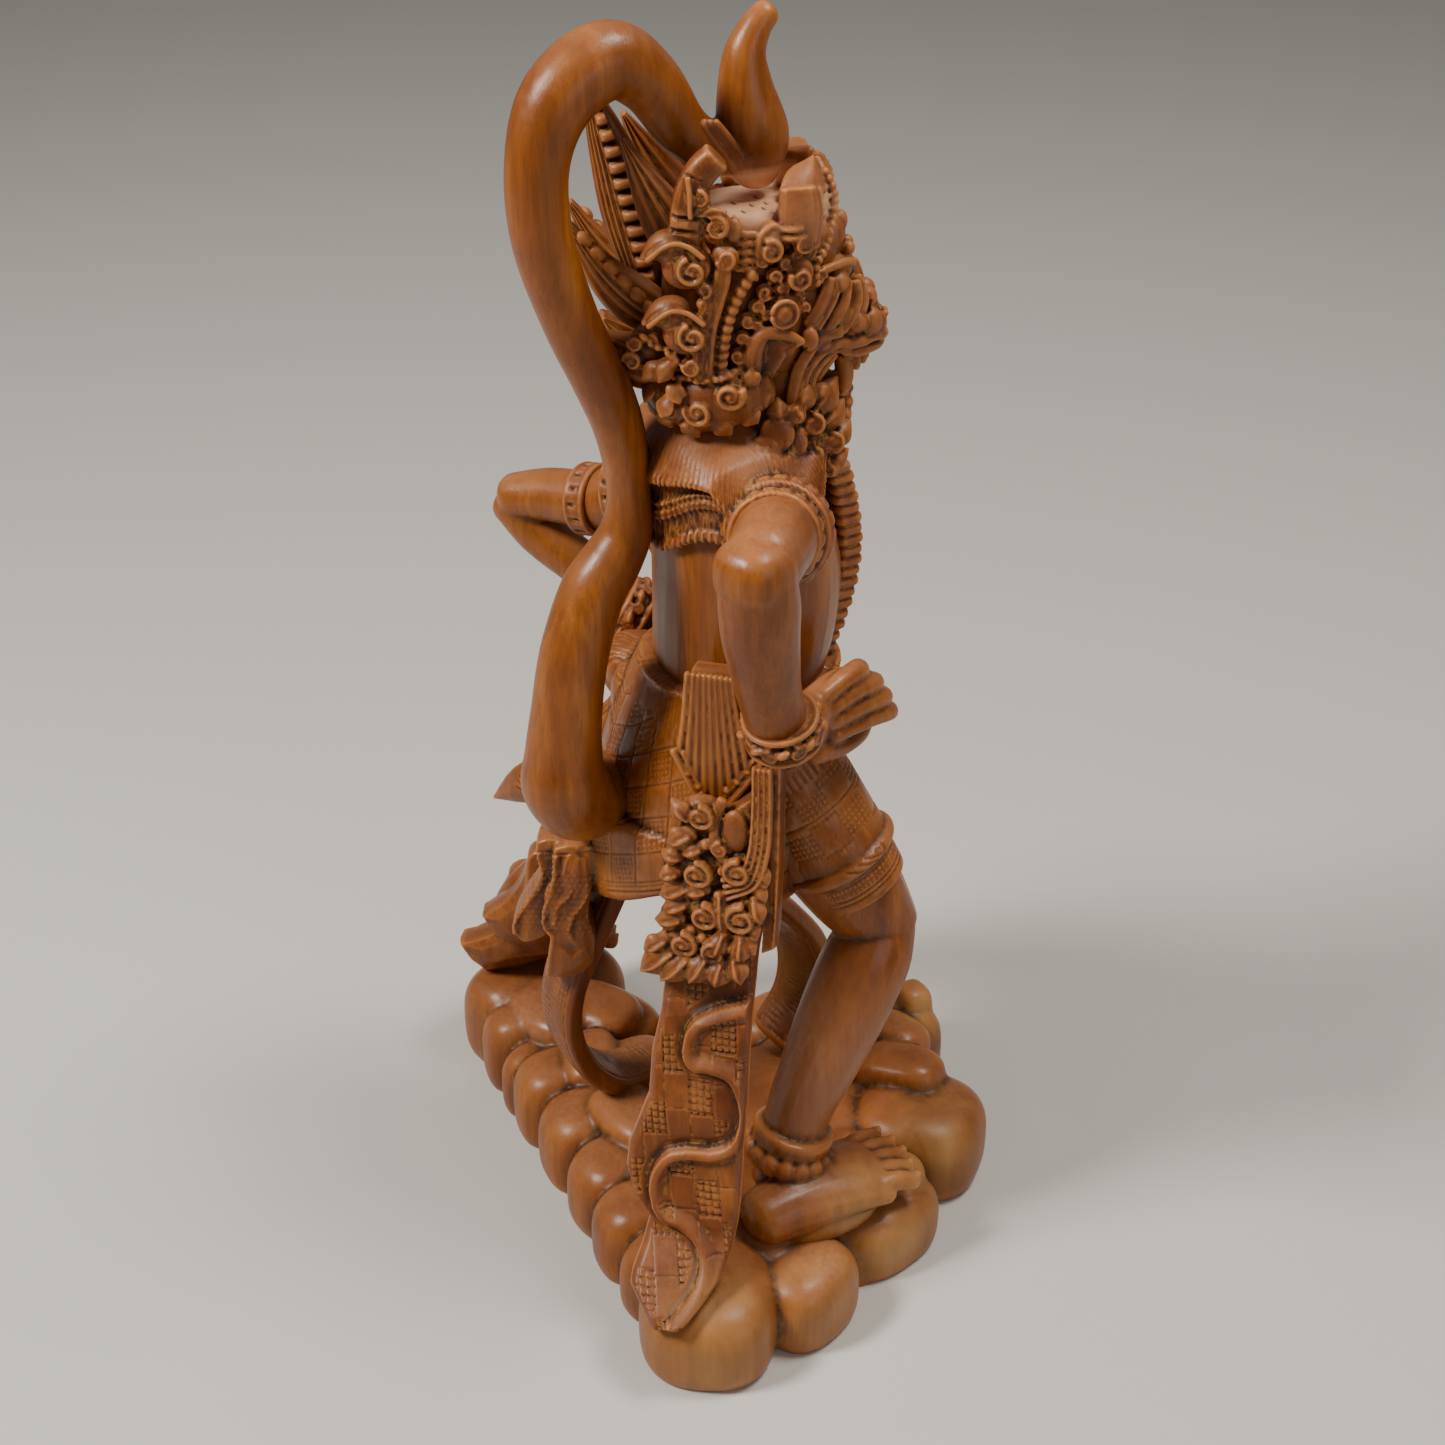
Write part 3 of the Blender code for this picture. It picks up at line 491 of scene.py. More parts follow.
def fist():
    """The right hand, closed: four finger rolls laid over the thumb."""
    tube([(-79, 47, 263, 9.5, 10), (-75, 36, 260, 8, 12.5), (-68, 24, 258, 6, 14.5), (-63, 12, 257, 5.5, 13),
          (-60, 4, 256, 4.5, 9)], (1, 0, 0), sides=20, steps=5, power=2.3)
    for rows in ([(-76, 30, 269.5), (-72.5, 19, 272.0), (-68, 10, 271.0), (-62, 6, 266.5)],
                 [(-76, 28, 263.5), (-72.5, 14, 265.5), (-68, 3, 263.5), (-61, 0, 258)],
                 [(-75.5, 26, 257.5), (-72, 10, 258.0), (-67, -2, 255.5), (-60, -4, 250)],
                 [(-75, 24, 251.0), (-71, 8, 250.5), (-66, -5.5, 247.5), (-59, -7, 243)]):
        tube([(*rows[0], 3.4, 3.6), (*rows[1], 4.0, 3.7), (*rows[2], 4.3, 3.9), (*rows[3], 3.6, 3.6)],
             (1, 0, 0), sides=16, steps=5)
    tube([(-75, 32, 246, 4.6, 5.0), (-71, 20, 242.5, 4.6, 4.4), (-67, 9, 242, 4.2, 4),
          (-63, 3, 243, 3.6, 3.6)], (1, 0, 0), sides=14, steps=5)


def legs():
    limb([(-36, 28, 204, 24, 24), (-49, 16, 190, 21, 22), (-61, 3, 166, 19.5, 19.5), (-67, -7, 148, 15, 15)])
    limb([(-67, -6, 149, 14.5, 15), (-70, 1, 138, 17, 18), (-72, 9, 126, 17.5, 18), (-74, 18, 111, 17, 17),
          (-75, 27, 94, 15, 15.5), (-75, 35, 76, 13, 14), (-76, 40, 58, 12, 13), (-77, 44, 46, 12, 14)])
    limb([(12, 30, 202, 26, 26), (36, 18, 184, 24, 23), (58, 8, 164, 20, 20), (72, 6, 150, 16, 16)])
    limb([(72, 6, 151, 15.5, 16), (78, 18, 134, 15, 17), (90, 44, 106, 13, 16),
          (103, 70, 82, 11.5, 14), (108, 74, 62, 11, 13)])
    foot((-92, 62, 43), (-89, -3, 42), 1.15)
    lobe((-92, 34, 35), (15, 26, 12), power=2.4)
    foot((113, 88, 52), (110, 30, 44))


def foot(heel, toe, bulk=1.0):
    heel, toe = np.asarray(heel, float), np.asarray(toe, float)
    along = toe - heel
    across = unit(np.cross(along, (0, 0, 1)))
    tube([(*heel, 11 * bulk, 11.5), (*(heel + along * 0.22 + (0, 0, 1)), 13 * bulk, 12.5),
          (*(heel + along * 0.5 + (0, 0, 2)), 15 * bulk, 11), (*(heel + along * 0.78), 17.5 * bulk, 8.5)],
         across, sides=18, steps=4)
    for i in range(TOE_COUNT):
        shift = (i - (TOE_COUNT - 1) / 2.0) * 6.6 * bulk
        start = heel + along * 0.66 + across * shift * 0.75
        end = heel + along * (1.06 - 0.03 * abs(i - 1.5)) + across * shift
        lift = np.array([0.0, 0.0, 3.0])
        tube([(*start, 4.0, 4.5), (*((start + end) * 0.5 + lift), 4.0, 4.6), (*end, 3.7, 3.8)],
             across, sides=12, steps=3)
        disc(end + unit(along) * 1.5 + (0, 0, 3.2), (0.1, 0.2, 1), 2.2, 0.9)


ANKLET_COUNT = 15
ANKLET_TILT = 16.0


def round_ankle(centre, radius, i, share, lift):
    """The i-th place on a tilted ring round the ankle."""
    a = TAU * i / ANKLET_COUNT
    place = turned([[math.cos(a) * radius * share, math.sin(a) * radius * share, lift]], 0, ANKLET_TILT)[0]
    return np.asarray(centre) + place


def anklets():
    """A plain cuff and a row of squared beads under it."""
    for centre, radius, bead in (((-76.5, 41, 58.5), 15.2, 5.0), ((105, 66, 80), 12.5, 2.8)):
        for i in range(ANKLET_COUNT):
            lobe(round_ankle(centre, radius, i, 1.0, -1.5), (bead * 0.66, bead * 0.72, bead),
                 yaw=math.degrees(TAU * i / ANKLET_COUNT), power=3.0, flat=2.6)
        for lift, share, thick in ((8.5, 0.93, 2.9), (5.8, 0.95, 2.2)):
            ring = [round_ankle(centre, radius, i, share, lift) for i in range(ANKLET_COUNT + 1)]
            tube([(*point, thick, thick) for point in ring], (0, 0, 1), sides=10, steps=2)


# Tail

def tail():
    r = TAIL_RADIUS
    rows = [(6, 58, 206, 1.1), (0, 78, 203, 1.3), (-8, 95, 207, 1.46), (-13, 104, 221, 1.52),
            (-13, 104, 234, 1.34), (-13, 102, 252, 1.22), (-13, 98, 275, 1.17), (-13, 90, 298, 1.1),
            (-13, 81, 310, 1.0), (-13, 75, 321, 0.86), (-13, 74, 338, 0.72), (-13, 77, 360, 0.82),
            (-13, 84, 380, 0.89), (-13, 94, 403, 0.9), (-13, 103, 432, 0.95), (-13, 104, 458, 0.97),
            (-13, 96, 478, 1.12), (-13, 78, 488, 1.15), (-13, 63, 479, 0.98), (-13, 51, 462, 0.84),
            (-13, 40, 454, 0.75), (-15, 28, 449, 0.66)]
    tube([(x, y, z, r * k, r * k) for x, y, z, k in rows], (1, 0, 0), sides=22, steps=5)
    tuft = [(-15, 25, 444, 0.78), (-15, 23, 454, 1.0), (-15, 26, 463, 1.04), (-15, 28, 474, 0.84),
            (-15, 28, 484, 0.65), (-15, 24, 492, 0.5), (-15, 20, 496, 0.44)]
    tube([(x, y, z, r * k, r * k) for x, y, z, k in tuft], (1, 0, 0), sides=18, steps=5, cap=0.7)


# Head and crown

def placed(points):
    """From the head's own axes (facing -Y, origin at its middle) to the figure's."""
    return turned(points, HEAD_TURN) + np.asarray(HEAD_AT)


def head_place(x, y, z):
    return placed([[x, y, z]])[0]


def head_way(x, y, z):
    return turned([[x, y, z]], HEAD_TURN)[0]


def head_lobe(x, y, z, rx, ry, rz, pitch=0.0, power=2.0, flat=2.0):
    lobe(head_place(x, y, z), (rx, ry, rz), HEAD_TURN, pitch, power=power, flat=flat)


def head_tube(rows, power, steps=4):
    """A tube given in the head's own axes."""
    world = [(*head_place(*row[:3]), row[3], row[4]) for row in rows]
    tube(world, head_way(1, 0, 0), sides=12, steps=steps, power=power, cap=0.25)


def sided(s, rows):
    """Rows whose x is for the head's left side, kept for s = 1 and mirrored for s = -1."""
    return [(s * row[0], *row[1:]) for row in rows]


def head_disc(x, y, z, radius, half):
    disc(head_place(x, y, z), head_way(x, y - CROWN_Y, 0.0), radius, half)


def curl(x, y, z, radius, start=(0, 0, 1), hand=1.0, turns=1.3, facing=None):
    """A spiral on the side of the head, turned outward."""
    out = head_way(x, (y - CROWN_Y) * 0.6, 0.0) if facing is None else head_way(*facing)
    scroll(head_place(x, y, z), out, head_way(*start), radius, turns, hand if x < 0 else -hand)


def roll(rows, thick=1.3, deep=None, steps=5):
    """A thin raised moulding along a path on the head."""
    deep = thick if deep is None else deep
    tube([(*head_place(*row[:3]), *(row[3:] if len(row) > 3 else (thick, deep))) for row in rows],
         head_way(1, 0, 0), sides=10, steps=steps, cap=0.6)


def head_beads(rows, spacing, radius):
    bead_row([head_place(*row) for row in rows], spacing, radius)


def face():
    head_lobe(0, 3, -2, 23, 22, 25)
    head_lobe(0, -6, 12, 21, 19, 14)
    head_lobe(0, -17, 19, 15, 10, 8, power=2.3)
    head_lobe(0, -25, 14, 10, 6.5, 7.5)
    head_lobe(0, -22, 4, 15.5, 9, 9, power=2.3)
    # Muzzle, nose and its flared wings
    head_tube([(0, -6, 0, 20, 14), (0, -16, -0.5, 18, 10.5), (0, -25, -2, 14, 8), (0, -32, -3, 10.5, 6.5),
               (0, -37, -3.5, 7.5, 5.5)], 2.4, steps=6)
    head_lobe(0, -33, 3, 7, 5.5, 6)
    for s in (-1, 1):
        head_lobe(s * 4.0, -33.2, 8.2, 4.0, 4.2, 4.0)
        head_lobe(s * 6.2, -34.0, 0.2, 5.2, 5.4, 5.4)
        head_lobe(s * 3.4, -38.0, -1.6, 3.8, 3.2, 4.4)
        head_lobe(s * 10, -29, 1.5, 4.5, 5, 4)
        for k in range(4):
            head_lobe(s * (1.6 + 1.5 * k), -40.6 + 0.9 * k, 1.2 - 1.9 * k, 1.5, 1.3, 1.2)
        # Cheek swells and the ridges that sweep up to the brow
        head_lobe(s * 13.6, -21.5, 8.5, 4.6, 6.0, 9.5, pitch=-18)
        head_lobe(s * 16.6, -13.5, 6, 4.6, 7, 11, pitch=-12)
        roll(sided(s, [(22, -12.2, 5), (21.3, -15.7, 10.3), (19.6, -18.3, 15.4), (17.5, -19.6, 20)]), 1.3,
             2.3)
        roll(sided(s, [(21, -15.0, 4), (20.0, -18.5, 9.5), (18.2, -21.0, 14.5), (16.2, -22, 19)]), 1.1, 2.0)
        roll(sided(s, [(18.6, -18.3, 2), (18.2, -22.1, 6.8), (16.4, -24.6, 11.5), (14.4, -25.4, 17.8)]), 1.3,
             2.4)
        roll(sided(s, [(15.6, -24.2, 0.7), (14.2, -27.8, 5.7), (12.2, -29.4, 10.9), (11.5, -28.6, 16.4)]),
             1.3, 2.3)
        roll(sided(s, [(11, -29.5, 2.6), (9.6, -32.0, 7.5), (8.0, -31.4, 12.5), (8.0, -29.6, 17)]), 1.2, 2.0)
        # Eye under a swirled lid, and the brow plate over it
        head_lobe(s * 13.5, -22.5, 17.0, 4.8, 4.6, 4.4)
        curl(s * 21, -15.5, 21.5, 3.2, start=(0, -1, 0), facing=(s, -0.6, 0.1))
        head_lobe(s * 9.0, -22.5, 20.8, 6.2, 5.4, 4.2, pitch=8)
        roll(sided(s, [(4, -27.5, 19), (9, -27.6, 22.6), (14.6, -23.6, 24.2), (19.5, -17, 23.5)]), 1.6)
        # Folds that run back from the lip and curl round the mouth's corner
        roll(sided(s, [(0, -40.4, -6.8), (3, -39.9, -6.4), (7.4, -36.2, -5.0), (10.6, -32.2, -5.5),
                       (12.8, -27.6, -5.6), (14.8, -23.8, -4.4), (16.2, -20.4, -5.2), (18.0, -17.0, -6.8),
                       (19.0, -13.6, -10.6), (19.4, -11.6, -14.6), (18.8, -11.0, -19), (16.6, -12.0, -23.4)]),
             1.4, 2.0)
        roll(sided(s, [(0, -39.2, -9.9), (3, -38.6, -9.6), (7.2, -34.2, -9.9), (9.4, -30.4, -10),
                       (11.4, -26.6, -9.0), (12.6, -24.6, -7.2), (14.0, -21.9, -7.2), (15.8, -19.0, -9.2),
                       (16.8, -16.2, -12.4), (17.2, -14.4, -15.8), (16.8, -14.0, -19.8),
                       (14.6, -15.8, -22.8)]), 1.3, 1.9)
        roll(sided(s, [(16.4, -24.1, 0.4), (18.6, -19.2, 0.0), (20.2, -15.0, -2.0), (21.4, -11.8, -6.4),
                       (21.8, -9.2, -11.0), (21.6, -8.0, -16.4), (20.8, -7.2, -22.8), (19.2, -7.2, -27.0)]),
             1.2, 2.2)
        roll(sided(s, [(17.2, -17.8, -1.5), (19.2, -14.2, -4.0), (20.4, -11.4, -8.5), (20.6, -10.0, -14.0),
                       (20.0, -9.4, -20.0), (18.4, -9.6, -25.0)]), 0.9, 1.6)
        head_lobe(s * 17, -15, -3.5, 3.2, 6, 4)
        head_lobe(s * 17.5, -7, -17, 3, 5, 10)
        # Slim inner lip, the long fang and the teeth
        roll(sided(s, [(11.4, -22.8, -10.0), (12.2, -19.5, -14.3), (12.8, -16.5, -18.8),
                       (12.8, -15.2, -21.6)]), 1.1, 1.3)
        tube([(*head_place(s * 9.0, -26.0, -12.0), 2.6, 2.9), (*head_place(s * 9.4, -26.8, -18.5), 2.5, 2.8),
              (*head_place(s * 9.2, -26.4, -23.0), 2.0, 2.3), (*head_place(s * 9.0, -26.0, -24.6), 1.4, 1.6)],
             head_way(1, 0, 0), sides=14, steps=4)
        for x, y, z, h in ((6.4, -30.6, -14.4, 3.6), (3.9, -33.0, -13.6, 3.0), (1.4, -34.0, -13.2, 2.8)):
            head_lobe(s * x, y, z, 1.5, 1.6, h, power=3, flat=3)
        roll(sided(s, [(14, -15.1, -22.4), (11, -19.4, -24.0), (8, -23.7, -25.8), (4, -27.7, -27.6),
                       (0, -28.6, -27.8)]), 1.3)
        for x, y, z in ((2.0, -28.2, -26.4), (4.8, -26.6, -25.8), (12.0, -16.5, -22.6)):
            head_lobe(s * x, y, z, 1.5, 1.5, 1.9)
        # Plain wedge of the neck behind the jaw
        head_tube(sided(s, [(17.5, -4, -8, 3.0, 6), (16.5, -3.5, -18, 3.4, 6.5), (14.5, -3.5, -29, 3.4, 6.5),
                            (12, -3, -38, 3.4, 7)]), 2.4)
        head_lobe(s * 23.4, -12.8, 0.6, 2.2, 3.0, 4.2, power=2.6)
    # Open mouth's floor and the lower jaw with its scalloped beard
    head_tube([(0, -2, -27, 14, 6), (0, -12, -27, 12.5, 4.5), (0, -20, -28.2, 9.5, 3.6),
               (0, -26, -29.4, 5.5, 2.8)], 2.4, steps=5)
    head_tube([(0, -8, -22, 7, 1.8), (0, -18, -22.5, 6, 1.6), (0, -25, -24.5, 4.5, 1.3),
               (0, -30, -27.5, 3, 1.0)], 2.4, steps=5)
    beard()


def beard():
    head_lobe(0, -18, -33, 11, 9, 7.5)
    head_lobe(0, -12, -42, 12, 9, 9)
    for s in (-1, 1):
        for x, y, z, r in ((4, -28.0, -31.0, 2.6), (6, -27.4, -34.6, 2.6), (7, -25.6, -37.6, 2.4),
                           (2, -27.8, -37.0, 2.6), (9.6, -21.6, -38.4, 2.4), (2.4, -24.0, -41.6, 3.0),
                           (8, -21.0, -42.6, 3.0), (8, -21.0, -47.0, 3.0), (2.6, -22.0, -47.0, 3.0)):
            head_lobe(s * x, y, z, r, r * 0.9, r)
        curl(s * 12.6, -15.0, -33.6, 3.0, facing=(s, -0.5, 0.0))
        curl(s * 13.0, -14.2, -39.2, 3.4, hand=-1, facing=(s, -0.5, 0.0))
        for k in range(5):
            leaf(head_place(s * 11, -8 - 2.4 * k, -24.5 - 0.6 * k),
                 head_place(s * (15 - 0.8 * k), -11 - 2.8 * k, -28 - 0.5 * k), head_way(0, 1, -1), 2.0, 1.8,
                 head_way(s * 1.5, 0, 0), 0.5, steps=6)


def face_grooves(points):
    """Fine gouge lines beside the ridges, and the notch behind the nose."""
    cut = np.zeros(len(points))
    for s in (-1, 1):
        lines = ([(20, -17.5, 3), (19.6, -20.5, 8), (17.5, -23, 13), (15.5, -24, 18)],
                 [(16.8, -21.5, -1.5), (19.5, -16.5, -2.6), (21, -12.5, -7.5), (20.5, -10, -15)],
                 [(5, -39, -8), (9, -33, -7.8), (12, -27, -7.4), (15, -22, -6), (17.8, -17.5, -9),
                  (18.6, -13.4, -14), (18, -12.6, -20)],
                 [(24, -14, 3), (24.5, -12, -1), (24, -10.5, -3.5)],
                 [(11, -24.8, 23), (11.6, -24.6, 20), (12, -24, 18.5)])
        for line in lines:
            cut += incise(points, [head_place(*p) for p in sided(s, line)], 0.9, 0.8)
        cut += incise(points, [head_place(s * 7.0, -34.5, 7.5), head_place(s * 8.2, -33.6, 4.5),
                               head_place(s * 9.5, -31.5, 3.5)], 1.7, 1.8)
    return np.minimum(cut, 2.0)


def ear(s):
    """A pointed ear laid back: thick hind ridge, thin upper rim, hollow between."""
    roll(sided(s, [(25, 8, -15, 2.6, 3.4), (27.5, 7.4, -8, 3.0, 3.8), (29.4, 6.4, 0, 2.9, 3.4),
                   (30.2, 3.4, 5.2, 2.4, 2.6), (30.2, -1.5, 5.6, 1.9, 2.2), (28.8, -6.4, 3.6, 1.6, 1.9),
                   (27.6, -10.0, 1.2, 1.2, 1.4)]), steps=6)
    roll(sided(s, [(28.6, -8.6, 1.4), (26.8, -5.9, -0.8), (25.8, -2.2, -2.6), (25.2, 0.6, -6.2),
                   (24.6, 1.6, -12)]), 1.1, 1.3, steps=6)


def ear_hollow(s):
    """The thin shell of the ear between its rims."""
    head_tube(sided(s, [(23.5, 4.5, -14, 2.2, 4.0), (24.6, 3.2, -8, 2.0, 5.6), (25.6, 1.0, -1.5, 2.0, 6.6),
                        (26.6, -2.6, 2.0, 1.9, 5.0), (27.0, -7.6, 1.4, 1.5, 2.4)]), 2.4)


def crumbs(rows, count, size):
    """Small chips scattered along a path, as left by the tip of a knife."""
    path = smooth([head_place(*row) for row in rows], 10)
    for i in range(count):
        t = i / (count - 1) * (len(path) - 1)
        place = path[min(int(t), len(path) - 1)]
        shake = np.array((math.sin(i * 12.9898), math.sin(i * 78.233), math.sin(i * 37.719)))
        lobe(place + shake * size * 0.7, (size, size * (0.8 + 0.3 * shake[0]), size * 0.8), yaw=i * 47.0,
             pitch=i * 31.0, power=3.0, flat=3.0, sides=10, rows=6)


def horn_curl(s, z):
    """A bud on the crown's hind corner: full round front with a spiral, drawn out to a point behind."""
    head_lobe(s * 30, 29, 29.5 + z, 5.8, 8.4, 7.8, power=2.4)
    leaf(head_place(s * 30, 29, 32 + z), head_place(s * 28, 43.5, 32.5 + z), head_way(0, 0.25, 1), 7.2, 5.4,
         head_way(0, 0, 3.4), 0.3, steps=14, power=2.2)
    curl(s * 35.2, 27.2, 29.4 + z, 5.6, start=(0, 0.5, 1), facing=(s, 0.1, 0.0), turns=1.2)
    roll(sided(s, [(33, 42, 32.6 + z), (34.5, 35, 38.2 + z), (35.2, 29, 38.0 + z), (35.6, 23.5, 34 + z)]),
         1.0)


def crown():
    head_lobe(0, 10, 6, 27.0, 28.5, 30, power=2.3, flat=2.6)
    head_lobe(0, 3, 30, 25.5, 26.5, 11.5, power=2.5, flat=4.0)
    head_lobe(0, -4, 20, 23, 19, 8, power=2.2, flat=2.6)
    for s in (-1, 1):
        ear(s)
        ear_hollow(s)
        horn_curl(s, 0.0)
        horn_curl(s, -23.0)
        curl(s * 34.0, 23.4, 22.6, 3.0, start=(0, 0, -1), turns=1.0)
        curl(s * 33.5, 24.0, 17.0, 2.4, start=(0, 0, -1), turns=1.0)
        curl(s * 32.0, 27.6, -5.2, 3.8, start=(0, 1, 0))
        # Fluted stalk that ends in a spiral
        for k in (-1, 0, 1):
            roll(sided(s, [(30.6, 23.6 + 2.3 * k, -11), (31.4, 23.6 + 2.3 * k, -3), (32.2, 22.8 + 2.4 * k, 8),
                           (32.6, 20.2 + 2.3 * k, 18), (32.6, 17.8 + 1.7 * k, 25),
                           (32.2, 16.8 + 1.2 * k, 31)]), 2.2, 1.55)
        head_lobe(s * 28, 21, 8, 3.5, 5, 18, pitch=7)
        curl(s * 33.2, 16.0, 32.8, 3.9, start=(0, 1, -0.4))
        head_lobe(s * 29.5, 16.5, 32, 3.6, 4.6, 5.6)
        head_lobe(s * 29, 13.4, 41.4, 3.2, 2.6, 4.4, power=3)
        for k in range(5):
            roll(sided(s, [(29.4, 12.4, 40 - 3.0 * k), (30.4, 9.6, 40.4 - 3.0 * k),
                           (29.6, 6.4, 40 - 3.0 * k)]), 1.1, 1.1, steps=4)
        # Scaled bead row beside the stalk, and the curls in front of it
        head_beads(sided(s, [(30.4, 17.2, -11), (31.0, 17.2, -3), (32, 15.4, 9.5), (31.6, 12.2, 18.8),
                             (31, 7.7, 26.5)]), 3.1, 2.15)
        for y, z, r, hand in ((7.6, 26, 2.6, 1), (-0.3, 25, 2.8, 1), (3.0, 19.8, 2.9, -1),
                              (5.6, 14.8, 2.9, 1), (-3.9, 29.4, 2.6, -1), (8.6, 10.1, 2.8, -1),
                              (10.6, 3.7, 2.8, 1), (11.9, -2.4, 2.8, -1), (12.4, -8.6, 2.6, 1),
                              (2.4, 11.5, 2.4, 1), (-2.8, 20.4, 2.6, 1), (5.6, 8.2, 2.2, 1),
                              (4.0, 31.0, 2.5, -1), (-7.2, 31.2, 2.4, 1), (-9.0, 17.6, 2.6, -1),
                              (-10.6, 12.0, 2.4, 1)):
            reach = math.sqrt(max(1.0, CROWN_RADIUS ** 2 - (y - CROWN_Y) ** 2))
            curl(s * (reach + 0.7), y, z, r, start=(0, -1, -1), hand=hand, turns=1.1)
        curl(s * 30.8, 1.2, 34.4, 4.6, start=(0, 0.4, 1), hand=-1)
        head_lobe(s * 27.4, 1.4, 36.5, 4.2, 4.6, 7.6)
        roll(sided(s, [(30.2, 5.4, 33), (30.6, 4.6, 39.4), (29.4, 0.6, 42.6), (28.2, -2.6, 40)]), 1.3)
        curl(s * 28.4, -8.9, 24.1, 4.6, start=(0, 1, 0.4))
        head_lobe(s * 25.4, -8.4, 25, 3.4, 5, 6)
        head_lobe(s * 26.6, -3.4, 12.6, 4.6, 6.2, 6.2)
        head_disc(s * 30.6, -3.5, 12.8, 4.9, 1.6)
        hoop(head_place(s * 31.4, -3.6, 12.8), head_way(s, -0.3, 0), 4.5, 32, (0, 0, 1), 0.9, 1.0)
        head_disc(s * 31.8, -3.6, 12.8, 3.0, 1.2)
        # Square bud on the crown's front corner and the oval spiral under it
        head_tube(sided(s, [(24.5, -8.0, 37, 5.0, 6.4), (24.6, -8.2, 46, 5.0, 6.8),
                            (23.2, -7.8, 53.2, 4.8, 6.2)]), 3.6)
        head_tube(sided(s, [(23, -11, 34, 4.6, 4.6), (22.6, -11.5, 44, 4.4, 5.0),
                            (21.6, -10.8, 51, 4.2, 4.4)]), 2.2)
        for z in (38.6, 41.6):
            roll(sided(s, [(28.8, -1.6, z), (30.0, -5, z - 0.4), (29.2, -9.2, z)]), 0.9)
        curl(s * 28.4, -10.2, 35.6, 3.6)
        nape(s)
        diadem(s)
    finial()
    forehead()
    cords()


def crown_grooves(points):
    """Cuts across the finial, chips in the crown's flat top."""
    cut = np.zeros(len(points))
    for z in (42.0, 46.6):
        cut += incise(points, [head_place(-33.4, 22, z - 0.6), head_place(-33.6, 28, z),
                               head_place(-32, 34, z + 0.6)], 1.2, 1.4)
    for z in (55.5, 60.5):
        cut += incise(points, [head_place(-33, 24, z - 1.4), head_place(-32.6, 29, z + 0.6),
                               head_place(-29, 32, z + 1)], 0.8, 0.7)
    for x, y in ((-6, 6), (-9, 2), (-4, 1), (-12, 9), (-16, 12), (-3, 12), (-14, -2), (2, 4)):
        cut += incise(points, [head_place(x, y, 41.6), head_place(x + 2.4, y + 1.0, 41.6)], 1.1, 1.0)
    return cut


def nape(s):
    """Hair roll round the back of the neck: spirals along a swelling band with a chipped upper rim."""
    tube([(*head_place(s * 24, 3, -16), 7.0, 5.6), (*head_place(s * 26.6, 12, -18.5), 9.4, 7.2),
          (*head_place(s * 25, 24, -21), 10.6, 7.6), (*head_place(s * 17.5, 33, -20.5), 10.2, 7.6),
          (*head_place(s * 8, 37.4, -19.5), 9.6, 7.2), (*head_place(0, 38.2, -19.5), 9.6, 7.2)],
         (0, 0, 1), sides=28, steps=8, power=2.3)
    head_lobe(s * 10, 18, -22, 16, 17, 8.5, flat=2.4)
    crumbs(sided(s, [(29, 7, -6), (31.5, 15, -9), (31, 23, -10.5), (27, 31, -11.5), (20, 37, -12),
                     (8, 41, -11.5), (0, 42, -11.5)]), 46, 1.45)
    for x, y, z, radius, start, hand, out_x, out_y in ((31.4, 25.2, -22.0, 5.8, (0, 1, 0.3), 1, 1.0, 0.42),
                                                       (33.0, 14.8, -15.4, 5.9, (0, -1, 0.5), -1, 1.0, 0.08),
                                                       (24.5, 34.2, -22.5, 5.2, (0, 1, 0.3), 1, 0.75, 0.8),
                                                       (12, 41.5, -20.5, 5.6, (0, 1, 0.3), -1, 0.35, 1.0),
                                                       (0.5, 43.0, -24.0, 4.2, (0, 1, 0.3), -1, 0.05, 1.0)):
        curl(s * x, y, z, radius, start, hand, facing=(s * out_x, out_y, -0.1))
    for x, y, z, tx, ty, tz in ((29, 6, -16, 28, 2, -22), (31, 9, -23, 29.5, 5, -27),
                                (32, 19, -26, 30, 14, -31), (31, 19, -22, 30, 20, -29),
                                (30, 30, -27, 27, 25, -33), (28, 35, -18, 29, 38, -25),
                                (22, 38, -27, 21, 34, -32), (18, 40, -16, 20, 43.5, -23),
                                (8, 42, -28, 10, 38, -33), (2, 43, -27, 3, 39, -33),
                                (30, 31, -14, 31, 36, -17), (31, 9, -9, 30, 5, -13)):
        base, tip = head_place(s * x, y, z), head_place(s * tx, ty, tz)
        outward = head_way(s * x, y - CROWN_Y, 0)
        leaf(base, tip, np.cross(unit(outward), unit(tip - base)), 4.2, 1.4, unit(outward) * 0.8, 0.45,
             steps=8)
    # Flames and curls between the nape and the lower wing
    curl(s * 24.5, 46.5, 0.7, 3.2, start=(0, 1, 0), facing=(s, 0.4, 0.1))
    curl(s * 23.5, 47.6, -6.4, 3.9, start=(0, 1, 0), hand=-1, facing=(s, 0.4, 0.0))
    curl(s * 26.0, 40.5, 1.5, 3.0, start=(0, 1, 0), hand=-1, facing=(s, 0.4, 0.1))
    head_lobe(s * 17, 42, -3, 7, 6.5, 8)
    leaf(head_place(s * 27, 35, -6), head_place(s * 24, 43.5, -12), head_way(0, 0.4, 1), 4.2, 3.2,
         head_way(s * 1, 1, 0), 0.5)
    leaf(head_place(s * 29, 33, -4), head_place(s * 28, 38.5, -12), head_way(0, 0.6, 1), 3.4, 2.6,
         head_way(s * 1, 1, 0), 0.5)
    crumbs(sided(s, [(27, 44, 4), (27.5, 38, 0), (29, 34, -3), (26, 40, -7)]), 14, 1.3)


